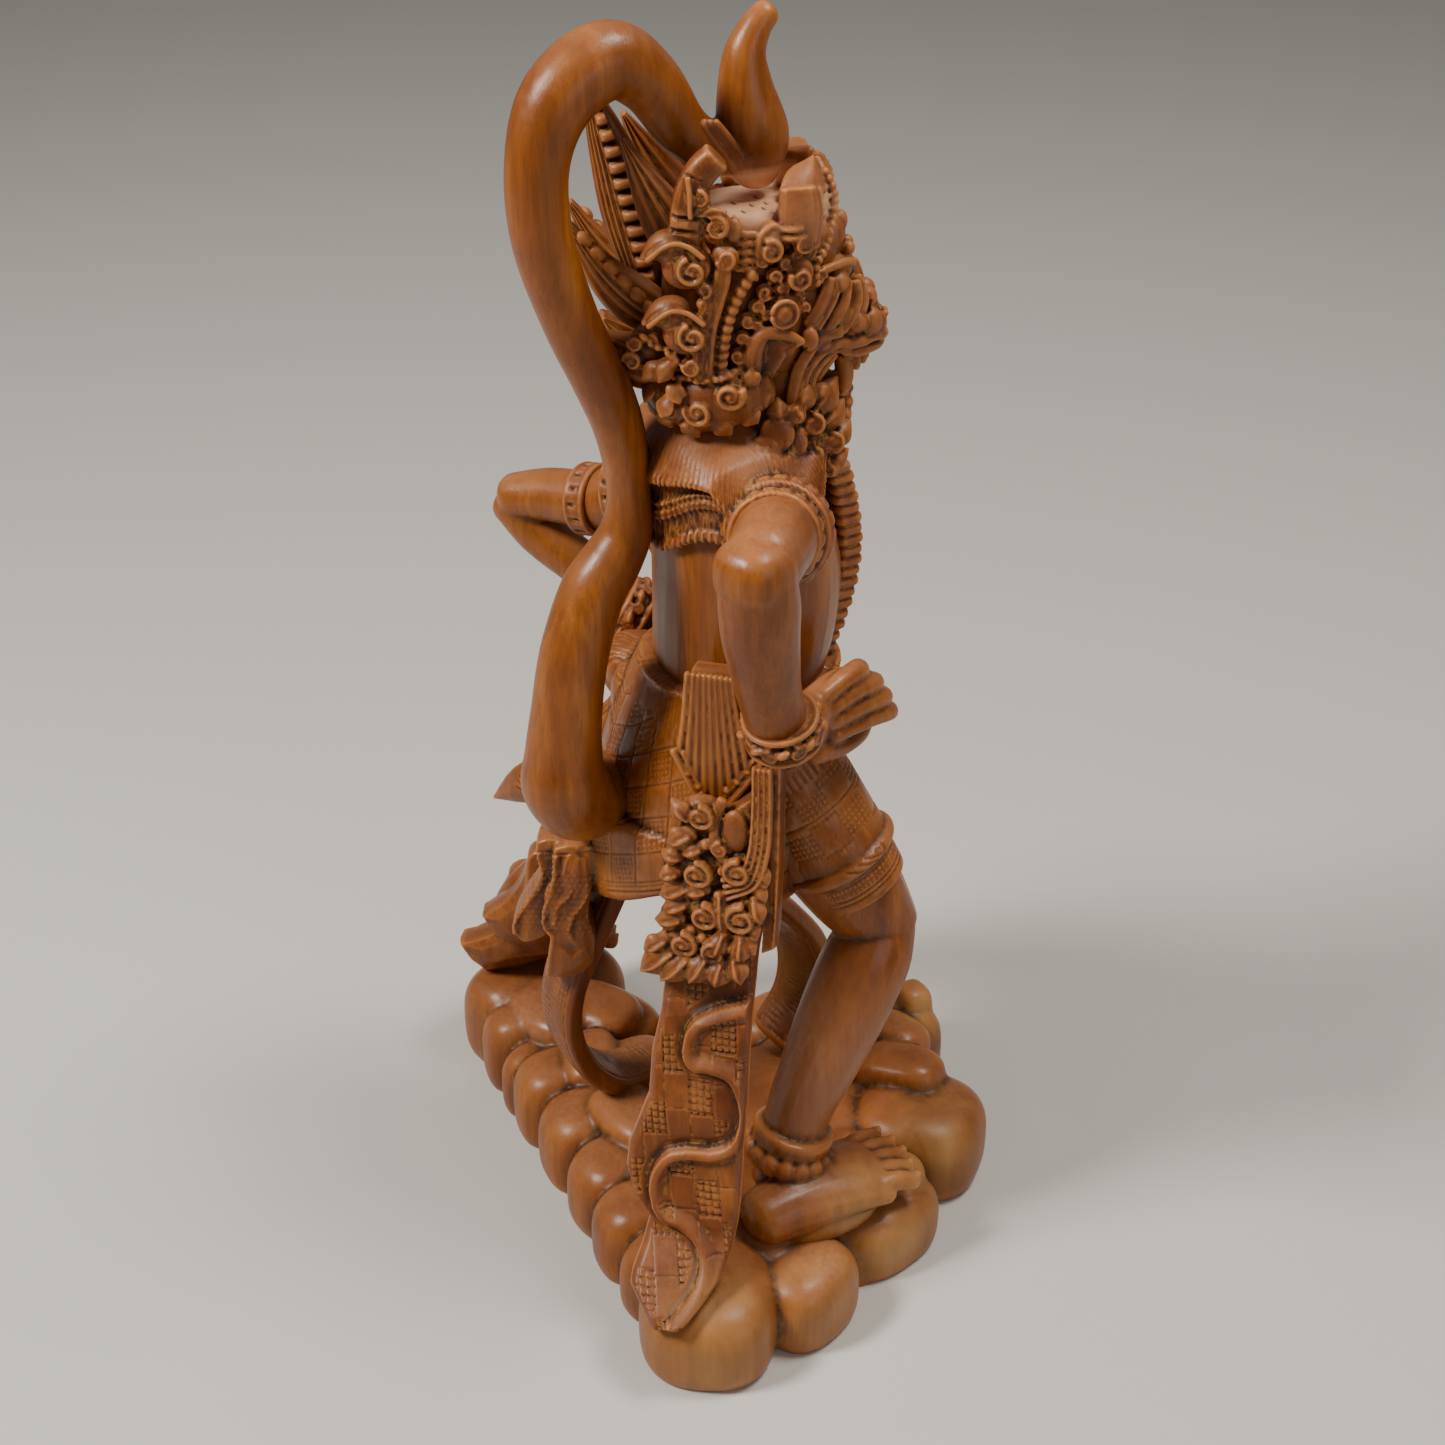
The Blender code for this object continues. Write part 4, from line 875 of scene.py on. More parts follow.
def diadem(s):
    """Half of the pointed brow plate: a beaded edge falling from the peak to the temple."""
    edge = sided(s, [(3, -15.0, 56.0), (6.4, -16.8, 53.6), (7.6, -19.6, 48.4), (8.6, -20.2, 43.8),
                     (10.8, -19.6, 39.0), (13.8, -18.2, 35.1), (17.0, -16.8, 30.8), (20, -14.4, 28.0),
                     (21.2, -13.4, 24.6), (21.4, -13.8, 20.2)])
    roll(edge, 1.5, 1.9, steps=5)
    head_beads([(x + s * 1.2, y - 1.2, z) for x, y, z in edge[1:]], 2.5, 1.35)
    inner = [(x + s * 2.6, y + 2.2, z + 0.6) for x, y, z in edge[1:]]
    head_beads(inner, 3.0, 1.5)
    roll([(x + s * 4.4, y + 4.4, z + 0.6) for x, y, z in edge[1:-1]], 1.1, 1.4, steps=5)
    leaf(head_place(s * 21, -3, 38), head_place(s * 4, -13.5, 56.5), head_way(0.4 * s, 0.9, 0), 7.5, 4.2,
         head_way(0, -2, 3), 0.45, steps=14)
    for x, y, z, tz in ((13, -14.5, 43, 51), (17, -12.5, 38, 46), (11.5, -16.5, 40, 46)):
        head_lobe(s * x, y, 0.5 * (z + tz), 2.2, 2.4, 0.5 * (tz - z), power=3, flat=3)
    curl(s * 22.6, -12.4, 31.6, 3.0, facing=(s, -0.5, 0.0))


def forehead():
    head_lobe(0, -11, 42, 9, 8, 12)
    head_lobe(0, -19, 29.5, 10.5, 7.0, 9.5)
    head_lobe(0, -12, 32, 17, 9, 10)
    for s in (-1, 1):
        head_lobe(s * 3.0, -26.8, 25.4, 2.4, 2.4, 2.6)
    head_lobe(0, -24, 34, 3.2, 2.6, 4.0)
    curl(0.1, -19.5, 46, 3.4, facing=(0, -1, 0.3))


def cords():
    """Three cords laid over the joint of the tail's end."""
    for line in ([(-20.5, 47.4, 465.1), (-20.5, 43.3, 459.5), (-20.5, 38.7, 453.4), (-20.5, 34.1, 446.9)],
                 [(-20.5, 45.2, 464.7), (-20.5, 40.6, 459.1), (-20.5, 36.0, 453.0), (-20.5, 31.4, 446.5)],
                 [(-20.5, 42.9, 464.4), (-20.5, 38.0, 458.7), (-20.5, 33.3, 452.6), (-20.5, 28.6, 446.0)]):
        tube([(*point, 1.35, 1.9) for point in line], (1, 0, 0), sides=12, steps=6)


def finial():
    """The crown's two horns: the near one with its flat end turned forward, the far one plain."""
    head_tube([(-27.5, 29.5, 33, 4.8, 5.4), (-28, 29.0, 42, 5.2, 5.7), (-28.4, 27.8, 52, 5.2, 5.6),
               (-28.4, 24.4, 60, 5.0, 5.3), (-28.4, 19.2, 65.4, 4.8, 5.0)], 3.6, steps=7)
    curl(-33.4, 24.6, 53.2, 3.3, hand=-1, turns=1.0)
    head_lobe(-30.5, 24.6, 51, 3.4, 3.8, 6)
    roll([(-33.2, 28.4, 60), (-34.2, 27.8, 54), (-34.2, 27.6, 47)], 1.0)
    curl(-33.0, 19.2, 43.6, 4.8, start=(0, 0.6, 1), hand=-1)
    head_lobe(-29.8, 20, 43, 3.8, 5, 6)
    roll([(-32.6, 24.4, 47), (-33.4, 21.4, 49.4), (-32.6, 16.4, 48.2)], 1.2)
    head_tube([(28, 29, 33, 4.6, 5.2), (28.4, 28, 44, 4.2, 4.8), (27.6, 24, 50, 3.6, 4.0)], 3.6)


# Wings behind the crown

def back_wing():
    """The tall blade in the head's middle plane: striated behind, a notched ridge, smooth in front."""
    rows = [(0, 41, 8, 4.5, 4.6), (0, 43.5, 20, 7.6, 5.0), (0, 45.5, 30, 9.4, 5.0), (0, 48.5, 42, 9.6, 4.6),
            (0, 52, 55, 8.2, 4.2), (0, 56, 68, 5.6, 3.6), (0, 58.5, 77, 2.8, 2.6)]
    world = [(*head_place(x, y, z), w, d) for x, y, z, w, d in rows]

    def skin(u, v, angle):
        across = np.cos(angle)
        striated = np.where(across > 0.12, 0.34 * np.cos(across * TAU * 5.0), 0.0)
        ridge = np.clip(1.5 - 1.5 * np.abs(across + 0.10) / 0.30, 0.0, 1.0)
        notch = 0.5 + 0.5 * np.cos(v * TAU / 5.6)
        flank = np.abs(np.sin(angle))
        return (striated + ridge * (2.3 - 3.2 * notch ** 2)) * np.minimum(1.0, flank * 1.6)

    tube(world, head_way(0, 1, -0.35), sides=120, steps=26, power=2.6, relief=skin, cap=0.5)


def striped_leaf(base, tip, side, width, thickness, bow, fullest, lines):
    """A leaf on the head with lengthwise grooves on its two faces."""
    rows = leaf_rows(head_place(*base), head_place(*tip), width, thickness, head_way(*bow), fullest, 12)

    def skin(u, v, angle):
        return 0.38 * np.cos(np.cos(angle) * math.pi * lines) * np.abs(np.sin(angle))

    tube(rows, head_way(*side), sides=72, steps=6, power=1.8, relief=skin)


def wings():
    back_wing()
    for s in (-1, 1):
        striped_leaf((s * 9, 34, 2), (s * 11, 68, 38), (0, 0.8, -0.7), 9, 5, (0, 2, -4), 0.3, 5)
        striped_leaf((s * 14, 32, -14), (s * 8, 58, -2), (0, 0.5, -1), 10, 7, (0, 2, -2), 0.4, 4)
        curl(s * 15, 45, -11, 4.6, start=(0, 1, 0.3), facing=(s * 1, 0.3, 0.1))
        curl(s * 16, 38, -4, 4.2, start=(0, 1, 0.3), facing=(s * 1, 0.3, 0.1))
        for k in range(6):
            t = k / 5.0
            head_lobe(s * (15 - 2.5 * t), 41 + 22 * t, 9 + 24 * t, 2.6, 3.2, 2.2, pitch=40)
        striped_leaf((s * 22, 26, 28), (s * 15, 49, 67), (0, 1, -0.5), 9, 4, (0, 0, -2), 0.3, 4)


# Cape, shoulder pieces and bands

CAPE_AXIS = np.array((-18.0, 37.0, 0.0))


def pointed_rim(centre_z, wide, deep, count, size, y):
    """A ring of small points under the rim of a cape tier."""
    a = np.arange(count) * TAU / count
    for k in range(count):
        c, s = math.cos(a[k]), math.sin(a[k])
        out = unit((c / wide, s / deep, 0.0))
        place = np.array((CAPE_AXIS[0] + wide * c, y + deep * s, centre_z))
        lobe(place, (size * 0.62, size * 1.3, size * 0.7), axes=basis(out), sides=6, rows=6)


def cape_rise(x, z):
    """How far the tiers rise towards the right shoulder: nothing at the neck, more on the lower tiers."""
    below_neck = np.clip((362.0 - z) / 25.0, 0.0, 1.0)
    lower = np.clip((334.0 - z) / 8.0, 0.0, 1.0)
    share = np.clip((-16.0 - x) / 32.0, 0.0, 1.0)
    share = share * share * (3.0 - 2.0 * share)
    under_band = 1.0 - 0.8 * np.clip((-50.0 - x) / 10.0, 0.0, 1.0)
    return below_neck * under_band * (8.5 - 4.0 * lower + share * (5.0 + 9.0 * lower))


def cape():
    first = len(shells)
    tube([(-20, 33, 362, 20, 19), (-19, 36, 354, 29, 23.5), (-18, 38, 345, 41, 27.5),
          (-18, 38.5, 335, 49, 30.5)], steps=5, sides=96, cap=0.05)
    pointed_rim(334, 48.7, 30.3, 130, 1.9, 38.5)
    tube([(-18, 37, 338, 45, 26.5), (-17, 37, 328, 47, 28.5), (-17, 37, 320, 47.5, 29.5)],
         steps=5, sides=96, cap=0.05)
    for z in (326.0, 323.0):
        tube(ring_rows((-17, 37, z), 47.6, 29.4, 0.8), (0, 0, 1), sides=8, steps=1)
    tube([(-17, 36, 322, 46.5, 29), (-17, 36, 310, 45.0, 29.2)], steps=5, sides=96, cap=0.05)
    pointed_rim(309.5, 44.6, 28.9, 84, 2.6, 36.0)
    for points, _ in shells[first:]:
        points[:, 2] += cape_rise(points[:, 0], points[:, 2])


def ring_rows(centre, wide, deep, thick):
    """Stations of a level oval cord."""
    count = 72
    a = np.arange(count + 1) * TAU / count
    c = np.asarray(centre, float)
    return np.column_stack([c[0] + wide * np.cos(a), c[1] + deep * np.sin(a), np.full(count + 1, c[2]),
                            np.full(count + 1, thick), np.full(count + 1, thick)])


def cape_grooves(points):
    """Hair-like lines down the cape tiers."""
    away = points - CAPE_AXIS
    azimuth = np.arctan2(away[:, 1] / 0.62, away[:, 0])
    drop = np.clip((360.0 - points[:, 2]) / 40.0, 0.0, 1.0)
    count = np.where(points[:, 2] > 335.0, 118.0, 84.0)
    wander = 0.55 * np.sin(points[:, 2] * 0.33 + azimuth * 5.0)
    lines = 0.5 + 0.5 * np.cos(azimuth * count + wander * 2.0)
    inside = (points[:, 2] > 308.0) & (points[:, 2] < 360.0)
    reach = np.hypot(away[:, 0] / 52.0, away[:, 1] / 33.0) < 1.06
    return np.where(inside & reach, lines * (0.16 + 0.42 * drop), 0.0)


def block_ring(centre, direction, radius, half, count, size):
    """A band round a limb carved as two rims with square blocks between them."""
    centre, axes = np.asarray(centre, float), basis(direction)
    t = axes[2]
    tube([(*(centre - t * half), radius, radius), (*(centre + t * half), radius, radius)],
         axes[0], sides=48, steps=2, cap=0.06)
    for edge in (-half, half):
        hoop(centre + t * edge, direction, radius + 0.5, 60, t, 1.5, 1.5)
    for i in range(count):
        a = TAU * i / count
        out = axes[0] * math.cos(a) + axes[1] * math.sin(a)
        lobe(centre + out * (radius + 0.6), (size[0], half * 0.92, size[1]), axes=basis(out, t),
             power=5.0, flat=4.0, sides=16, rows=8)


def shoulder_fan(s):
    """Fan of carved leaves over the collar bone: plain lobes behind, spirals, flames that point forward."""
    def spot(x, y, z):
        return np.array((x if s < 0 else -36.0 - x, y, z))

    out = unit((s * 0.86, 0.42, 0.28))
    up = np.array((0.0, 0.0, 1.0))
    lobe(spot(-38, 22, 352), (10, 20, 13), power=2.4)
    lobe(spot(-36, 8, 356), (8, 9, 12), power=2.4)
    for y, z, r in ((37.0, 355.5, 5.8), (32.5, 361.0, 6.2), (27.0, 356.5, 6.2), (32, 351.5, 6.0),
                    (42.0, 350.5, 4.6)):
        lobe(spot(-46.0, y, z), (r, r, 2.4), axes=basis(out, up), power=2.2, flat=3.0)
    for k, r in enumerate((6.0, 8.4, 10.8)):
        arc = [spot(-46.0 + 0.4 * k, 31.0 - r * math.cos(a), 348.5 - 0.75 * r * math.sin(a)) for a in
               np.linspace(-0.7, 2.3, 8)]
        tube([(*point, 0.9, 1.1) for point in arc], out, sides=8, steps=3)
    for y, z, r, hand in ((17.5, 350.5, 5.0, 1), (18.0, 361.5, 4.4, -1), (25.5, 349.0, 3.6, 1),
                          (9.5, 352.5, 4.2, -1), (11.0, 343.0, 3.8, 1), (25.0, 366.5, 3.4, 1)):
        lobe(spot(-44.0, y, z), (r * 1.15, r * 1.15, 4.0), axes=basis(out, up), power=2.3)
        scroll(spot(-46.5, y, z) + out * 1.6, out, up, r, 1.3, hand)
    for y, z, ty, tz, w in ((16, 364, 6, 375, 5.5), (22, 366, 18, 376, 5.0), (12, 358, 3, 366, 5.0),
                            (8, 350, 0, 357, 4.6), (9, 343, 1, 346, 4.2), (30, 364, 30, 372, 4.4),
                            (14, 370, 11, 373, 4.4)):
        base, tip = spot(-42.5, y, z), spot(-41.5, ty, tz)
        leaf(base, tip, np.cross(out, unit(tip - base)), w, 3.4, out * 2.4, 0.45)
        tube([(*(base + out * 3.4), 0.8, 1.0), (*((base + tip) / 2 + out * 5.2), 0.8, 1.0),
              (*(tip + out), 0.5, 0.6)], np.cross(out, unit(tip - base)), sides=8, steps=4)


def ornaments():
    cape()
    x, y, z, way = -63, 42, 334, (-18, 14, 7)
    block_ring((x, y, z - 1), way, 17.0, 4.0, 20, (2.7, 2.4))
    block_ring((x + way[0] * 0.42, y + way[1] * 0.42, z + way[2] * 0.42 - 1), way, 14.6, 3.0, 18, (2.4, 2.0))
    block_ring((34, 48, 310), (22, 12, -6), 15.2, 3.0, 18, (2.0, 1.5))
    shoulder_fan(-1)
    shoulder_fan(1)
    for s in (-1, 1):
        for k in range(19):
            t = k / 18.0
            x = -17 + s * (18 - 6 * t)
            y = 2 - 9 * math.sin(math.pi * t) + 2 * t
            lobe((x, y, 338 - 82 * t), (6.4, 5.2 + 0.5 * (k % 2), 2.1), power=4, flat=4, sides=16, rows=8)
    leaf((-17, 3, 330), (-17, -6, 296), (1, 0, 0), 11, 5, (0, -5, 0), 0.5)
    scroll((-17, -7.5, 318), (0, -1, 0.2), (0, 0, 1), 6.0, 1.4, 1.0)
    scroll((-24, -5.5, 326), (-0.3, -1, 0.2), (0, 0, 1), 4.4, 1.3, 1.0)
    scroll((-10, -5.5, 326), (0.3, -1, 0.2), (0, 0, 1), 4.4, 1.3, -1.0)
    # Strap across the back from the right armpit, with curls along it
    strap = [(-46, 50, 306), (-49, 48, 292), (-51, 44, 276), (-48, 38, 262)]
    for shift in (0.0, 2.6):
        tube([(x + shift * 0.9, y + shift, z, 1.1, 1.1) for x, y, z in strap], (0, 0, 1), sides=8, steps=6)
    for k in range(5):
        t = k / 4.0
        x, y, z = (np.interp(t, (0, 0.33, 0.66, 1), [p[i] for p in strap]) for i in range(3))
        scroll((x - 3.0, y - 4.0, z + 1), (-0.8, 0.6, 0), (0, 0, 1), 2.8, 1.2, 1.0)
    wrist_band((-79, 49, 264), (-3, 5, 18), 12.6, 5.5)
    wrist_band((45, 43, 250), (8, 10, 7), 11.6, 4.5)
    # Band over the left elbow
    block_ring((50, 57, 301), (22, 12, -4), 12.6, 3.4, 14, (2.4, 1.2))


def wrist_band(centre, direction, radius, half):
    """A bracelet of flowing leaves between two plain rims."""
    centre, axes = np.asarray(centre, float), basis(direction)
    t = axes[2]
    tube([(*(centre - t * half), radius, radius), (*(centre + t * half), radius, radius)],
         axes[0], sides=40, steps=2, cap=0.15)
    for edge in (-half, half):
        hoop(centre + t * edge, direction, radius + 0.4, 48, t, 1.3, 1.3)
    count = 9
    for i in range(count):
        a = TAU * i / count
        out = axes[0] * math.cos(a) + axes[1] * math.sin(a)
        along = np.cross(t, out)
        scroll(centre + out * (radius + 0.8), out, t, half * 0.72, 1.2, 1.0 if i % 2 else -1.0)
        leaf(centre + out * radius + along * 2, centre + out * radius + along * 7 + t * half * 0.5,
             t, 1.8, 1.8, out * 1.6, 0.5, steps=6)


# Skirt and belt

SKIRT_AXIS = np.array((-11.0, 42.0, 0.0))
# Side of a square of the cloth, and the radii at which the patterns of skirt and thigh are measured
CHECK = 13.5
SKIRT_RADIUS = 47.0
THIGH_RADIUS = 21.0
THIGH_TOP = np.array((-38.0, 27.0, 222.0))
THIGH_WAY = unit((-29.0, -34.0, -74.0))


def skirt():
    tube([(-15, 32, 252, 38, 34), (-14, 35, 236, 43, 37), (-13, 39, 214, 48, 40), (-11, 42, 192, 51, 41),
          (-9, 44, 174, 50, 40)], steps=8, sides=96, power=2.2, cap=0.1)
    tube([(-38, 27, 222, 23, 23), (-45, 20, 208, 23, 23), (-52, 14, 195, 22, 22), (-58, 8, 182, 21.5, 21.5)],
         steps=6, sides=64, cap=0.1)
    tube([(16, 26, 222, 26, 30), (30, 20, 204, 28, 29), (46, 13, 186, 26, 26), (56, 8, 174, 23, 23)],
         steps=6, sides=64, cap=0.1)
    tube([(30, 74, 177, 24, 5), (12, 83, 177, 24.5, 5.5), (-10, 84, 180.5, 20.5, 5.5),
          (-30, 79, 187, 15.5, 5.5), (-44, 70, 191, 12, 5)], (0, 0, 1), steps=8, sides=64, power=4.0, cap=0.2)
    tube([(-15, 29, 256, 37.5, 36.5), (-15, 29, 249, 38.5, 37.5), (-15, 30, 243, 37.5, 36.5)], steps=4,
         sides=96, cap=0.1)
    for z, y in ((256, 29), (243, 30)):
        tube(ring_rows((-15, y, z), 38.3, 37.3, 1.5), (0, 0, 1), sides=8, steps=1)
    # Rolled hem round each thigh
    hoop((-57.5, 8.5, 183.0), THIGH_WAY, 21.4, 72, THIGH_WAY, 3.0, 2.6, 12)
    hoop((55.0, 8.5, 175.5), (0.36, -0.3, -0.88), 22.8, 72, (0.36, -0.3, -0.88), 3.0, 2.6, 12)
    # Border band of the thigh cloth under the roll
    tube([(-57.5, 8.5, 183, 20.8, 20.8), (-62.5, 2.0, 168.5, 19.8, 19.8)], steps=6, sides=64, cap=0.05)
    # Knot and flower at the left hip
    for dx, dy, dz, r in ((0, 0, 0, 7.5), (9, -4, 6, 8), (-8, 4, 5, 7), (4, 1, -8, 7)):
        disc((16 + dx, 60 + dy, 231 + dz), (-0.1, 1, 0.2), r, 4.5)
    scroll((15, 64.5, 229), (-0.3, 1, 0.1), (0, 0, 1), 5.2, 1.2, 1.0)
    for k in range(8):
        a = k * TAU / 8
        ball((15 + 5.6 * math.cos(a), 64.0, 229 + 5.6 * math.sin(a)), 1.9)
    for k in range(7):
        x, y, z = 20 + 2.2 * k, 63 + 0.6 * k, 221 - 6.0 * k
        leaf((x, y, z + 3), (x + 1.5, y + 2.0, z - 4), (1, 0.3, 0.3), 3.6, 2.6, (0, 1, 0), 0.5, steps=6)
        ball((x - 3.4, y + 1.2, z), 2.0)
    leaf((24, 58, 226), (36, 64, 188), (0.8, -0.5, 0), 11, 6, (3, 3, 0), 0.45)
    leaf((34, 62, 184), (88, 89, 151), (0.4, 0, 1), 10, 5, (2, 4, 3), 0.5)
    lobe((18, 58, 232), (15, 9, 15), yaw=-35)
    lobe((27, 52, 237), (15, 14, 13), yaw=-35, flat=2.6)


def groove(distance, half):
    """1 in the middle of a cut, falling smoothly to 0 at half its width."""
    share = np.clip(1.0 - np.abs(distance) / half, 0.0, 1.0)
    return share * share * (3.0 - 2.0 * share)


def repeat(value, spacing):
    """Signed distance to the nearest line of a row of lines."""
    return value - np.round(value / spacing) * spacing


HEM_AZIMUTHS = (-180.0, -140.0, -90.0, -30.0, 20.0, 41.0, 63.0, 89.0, 117.0, 138.0, 165.0, 180.0)
HEM_HEIGHTS = (186.0, 184.0, 180.0, 176.0, 170.0, 152.5, 152.5, 160.0, 171.0, 178.5, 186.0, 186.0)


def skirt_relief(points):
    """Chequered cloth: lines, finely hatched squares and a double line along each hem."""
    away = points - SKIRT_AXIS
    azimuth = np.degrees(np.arctan2(away[:, 1], away[:, 0]))
    hem = np.interp(azimuth, HEM_AZIMUTHS, HEM_HEIGHTS)
    v = points[:, 2] - hem - 8.0
    u = np.radians(azimuth) * SKIRT_RADIUS
    cell = np.floor(u / CHECK) + np.floor(v / CHECK)
    hatched = (cell.astype(int) % 2 == 0).astype(float)
    inner_u = np.abs(repeat(u - CHECK / 2, CHECK)) < CHECK / 2 - 1.2
    inner_v = np.abs(repeat(v - CHECK / 2, CHECK)) < CHECK / 2 - 1.2
    lines = 0.55 * np.maximum(groove(repeat(u, CHECK), 0.8), groove(repeat(v, CHECK), 0.8))
    fine = np.maximum(groove(repeat(u + 0.16 * v, 2.1), 0.75), groove(repeat(v, 2.3), 0.75))
    cut = lines + 0.42 * hatched * inner_u * inner_v * fine
    cut = np.where(v < -1.0, 0.0, cut)
    cut += 0.6 * groove(v + 4.5, 0.8) + 0.5 * groove(v + 1.8, 0.7)
    # Right thigh: bands of fine grid along the leg
    along = (points - THIGH_TOP) @ THIGH_WAY
    around = points - THIGH_TOP - along[:, None] * THIGH_WAY[None, :]
    turn = np.arctan2(around @ np.array((0.93, 0.0, -0.36)), around @ np.array((0.0, 1.0, -0.45)))
    arc = turn * THIGH_RADIUS
    grid = np.maximum(groove(repeat(arc, 2.0), 0.7), groove(repeat(along, 2.3), 0.7))
    squares = (np.floor(arc / 12.0).astype(int) + np.floor(along / 12.0).astype(int)) % 2 == 0
    band = ((along > 8) & (along < 20)) | ((along > 22) & (along < 38))
    thigh = np.where(band & squares, 0.40 * grid, 0.0) + 0.5 * groove(along - 21.0, 0.8)
    slats = np.where((along > 1) & (along < 7), 0.5 * groove(repeat(arc, 3.0), 0.9), 0.0)
    border = ((along > 52) & (along < 57)).astype(float) * 0.45 * grid
    border += 0.6 * groove(along - 58.5, 0.7) + 0.6 * groove(along - 60.6, 0.7)
    near_thigh = (points[:, 0] < -40.0) & (points[:, 1] < 44.0) & (np.linalg.norm(around, axis=1) < 27.0)
    cut = np.where(near_thigh, thigh + slats + border, cut)
    # Ribbon ends: a hatched face
    u_flap = (points - FLAP_AT) @ BESIDE
    on_face = (points[:, 1] > 88.0) & (points[:, 2] < 170.0) & (points[:, 2] > 141.0) & (points[:, 0] > -14)
    hatch = np.maximum(groove(repeat(u_flap + 0.5 * points[:, 2], 2.4), 0.8),
                       groove(repeat(points[:, 2], 2.6), 0.8))
    cut = np.where(on_face, 0.24 * hatch * (points[:, 0] < 30), cut)
    cut = np.where(points[:, 0] > 70.0, 0.0, cut)
    # Belt slats, wide in front and fine behind
    belt = (points[:, 2] > 244.5) & (points[:, 2] < 255.0)
    front = (azimuth < -20.0)
    slat = np.where(front, 1.1 * groove(repeat(u, 5.0), 1.2), 0.3 * groove(repeat(u, 2.6), 0.9))
    close = np.hypot(away[:, 0] + 4, away[:, 1] + 12) < 46.0
    cut = np.where(belt & close, slat, cut)
    return cut


# Belt tongue and pendant

TONGUE_FACING = np.array((-0.72, 0.69, 0.0)) / math.hypot(0.72, 0.69)
TONGUE_ACROSS = np.cross((0, 0, 1), TONGUE_FACING)
TONGUE_AT = np.array((-49.0, 58.0, 0.0)) + TONGUE_FACING * 4.0
PENDANT_AT = np.array((-58.0, 64.0, 0.0)) + TONGUE_FACING * 4.0
# Height below which the pendant leans out more and is drawn shorter
PENDANT_KNEE = 190.0


def on_tongue(u, z, out):
    return TONGUE_AT + TONGUE_ACROSS * u + np.array((0, 0, z)) + TONGUE_FACING * out


def on_pendant(u, z, out):
    drop = PENDANT_KNEE - z
    lean = drop * (0.09 if drop < 0.0 else 0.24)
    height = z if drop < 0.0 else PENDANT_KNEE - drop * 0.88
    return PENDANT_AT + TONGUE_ACROSS * u + np.array((0, 0, height)) + TONGUE_FACING * (out + lean)


def rounded(outline, steps=4):
    """A closed outline drawn as a smooth curve through its corners."""
    rows = [(*p, 0.0) for p in outline]
    line = smooth(rows[-2:] + rows + rows[:3], steps)[:, :2]
    return line[2 * steps:2 * steps + len(outline) * steps]


def plate(outline, place, back, front, rim, swell=0.0):
    """A closed plate: outline points (u, z) put down by place(u, z, out), its face swelling to the middle."""
    outline = np.asarray(outline, float)
    middle = outline.mean(axis=0)
    count = len(outline)
    rings = [(rim, back), (1.0, back * 0.5 + front * 0.5),
             (0.5 + 0.5 * rim, front - 0.25 * abs(front) * (rim < 0.9)),
             (rim, front), (rim * 0.62, front + 0.75 * swell)]
    points = [place(u, z, out) for share, out in rings for u, z in middle + (outline - middle) * share]
    points += [place(*middle, back), place(*middle, front + swell)]
    faces = ring_faces(len(rings), count)
    low, high = len(points) - 2, len(points) - 1
    first = (len(rings) - 1) * count
    for j in range(count):
        k = (j + 1) % count
        faces.append((k, j, low))
        faces.append((first + j, first + k, high))
    add(points, faces)


def tongue():
    """Fluted shield hanging from the belt, with a scalloped foot and a raised double border."""
    sides = [(-9, 276), (-11, 262), (-13, 250), (-14.5, 242), (-8, 228), (0, 214.5), (9, 228), (18.5, 242),
             (16, 252), (12, 264), (9, 276)]
    plate(sides, on_tongue, -9.0, 3.4, 0.97)
    count = 8
    for k in range(count):
        t = (k + 0.5) / count
        top, foot_u = -8.2 + 16.4 * t, -11.5 + 26.5 * t
        low = 222.5 + abs(foot_u - 1.0) * 1.15
        rows = []
        for i in range(9):
            s = i / 8.0
            u = top + (foot_u - top) * s ** 1.15
            z = 276.5 + (low - 276.5) * s
            half = 1.05 + (1.5 - 1.05) * s
            rows.append((*on_tongue(u, z, 3.4), half, 1.4))
        tube(rows, TONGUE_ACROSS, sides=12, steps=4, power=2.4, cap=0.9)
    for inset, thick in ((0.0, 1.5), (3.6, 1.0)):
        for s, far, side_z in ((-1, -15.0, 242.0), (1, 19.0, 242.5)):
            tube([(*on_tongue(far - s * inset, side_z + 1.0, 3.8), thick, thick),
                  (*on_tongue(far * 0.5 - s * inset * 0.4, 228.0 + inset * 0.9, 4.0), thick, thick),
                  (*on_tongue(0.3, 215.0 + inset * 1.2, 4.0), thick, thick)],
                 TONGUE_FACING, sides=10, steps=6)
    for s, far in ((-1, -13.0), (1, 16.5)):
        tube([(*on_tongue(s * 9.6, 276, 2.6), 1.3, 1.6), (*on_tongue(far * 0.86, 256, 2.6), 1.3, 1.6),
              (*on_tongue(far, 243, 2.6), 1.4, 1.6)], TONGUE_ACROSS, sides=10, steps=5)
    for u, z in ((-9.5, 234.5), (-5.5, 229.2), (5.5, 229.0), (9.5, 233.5), (13.5, 238.5)):
        ball(on_tongue(u, z, 3.8), 1.8)


def pendant_roll(rows, thick, deep):
    """A raised moulding along a path on the pendant's face."""
    tube([(*on_pendant(*row), thick, deep) for row in rows], TONGUE_FACING, sides=10, steps=6, cap=0.6)


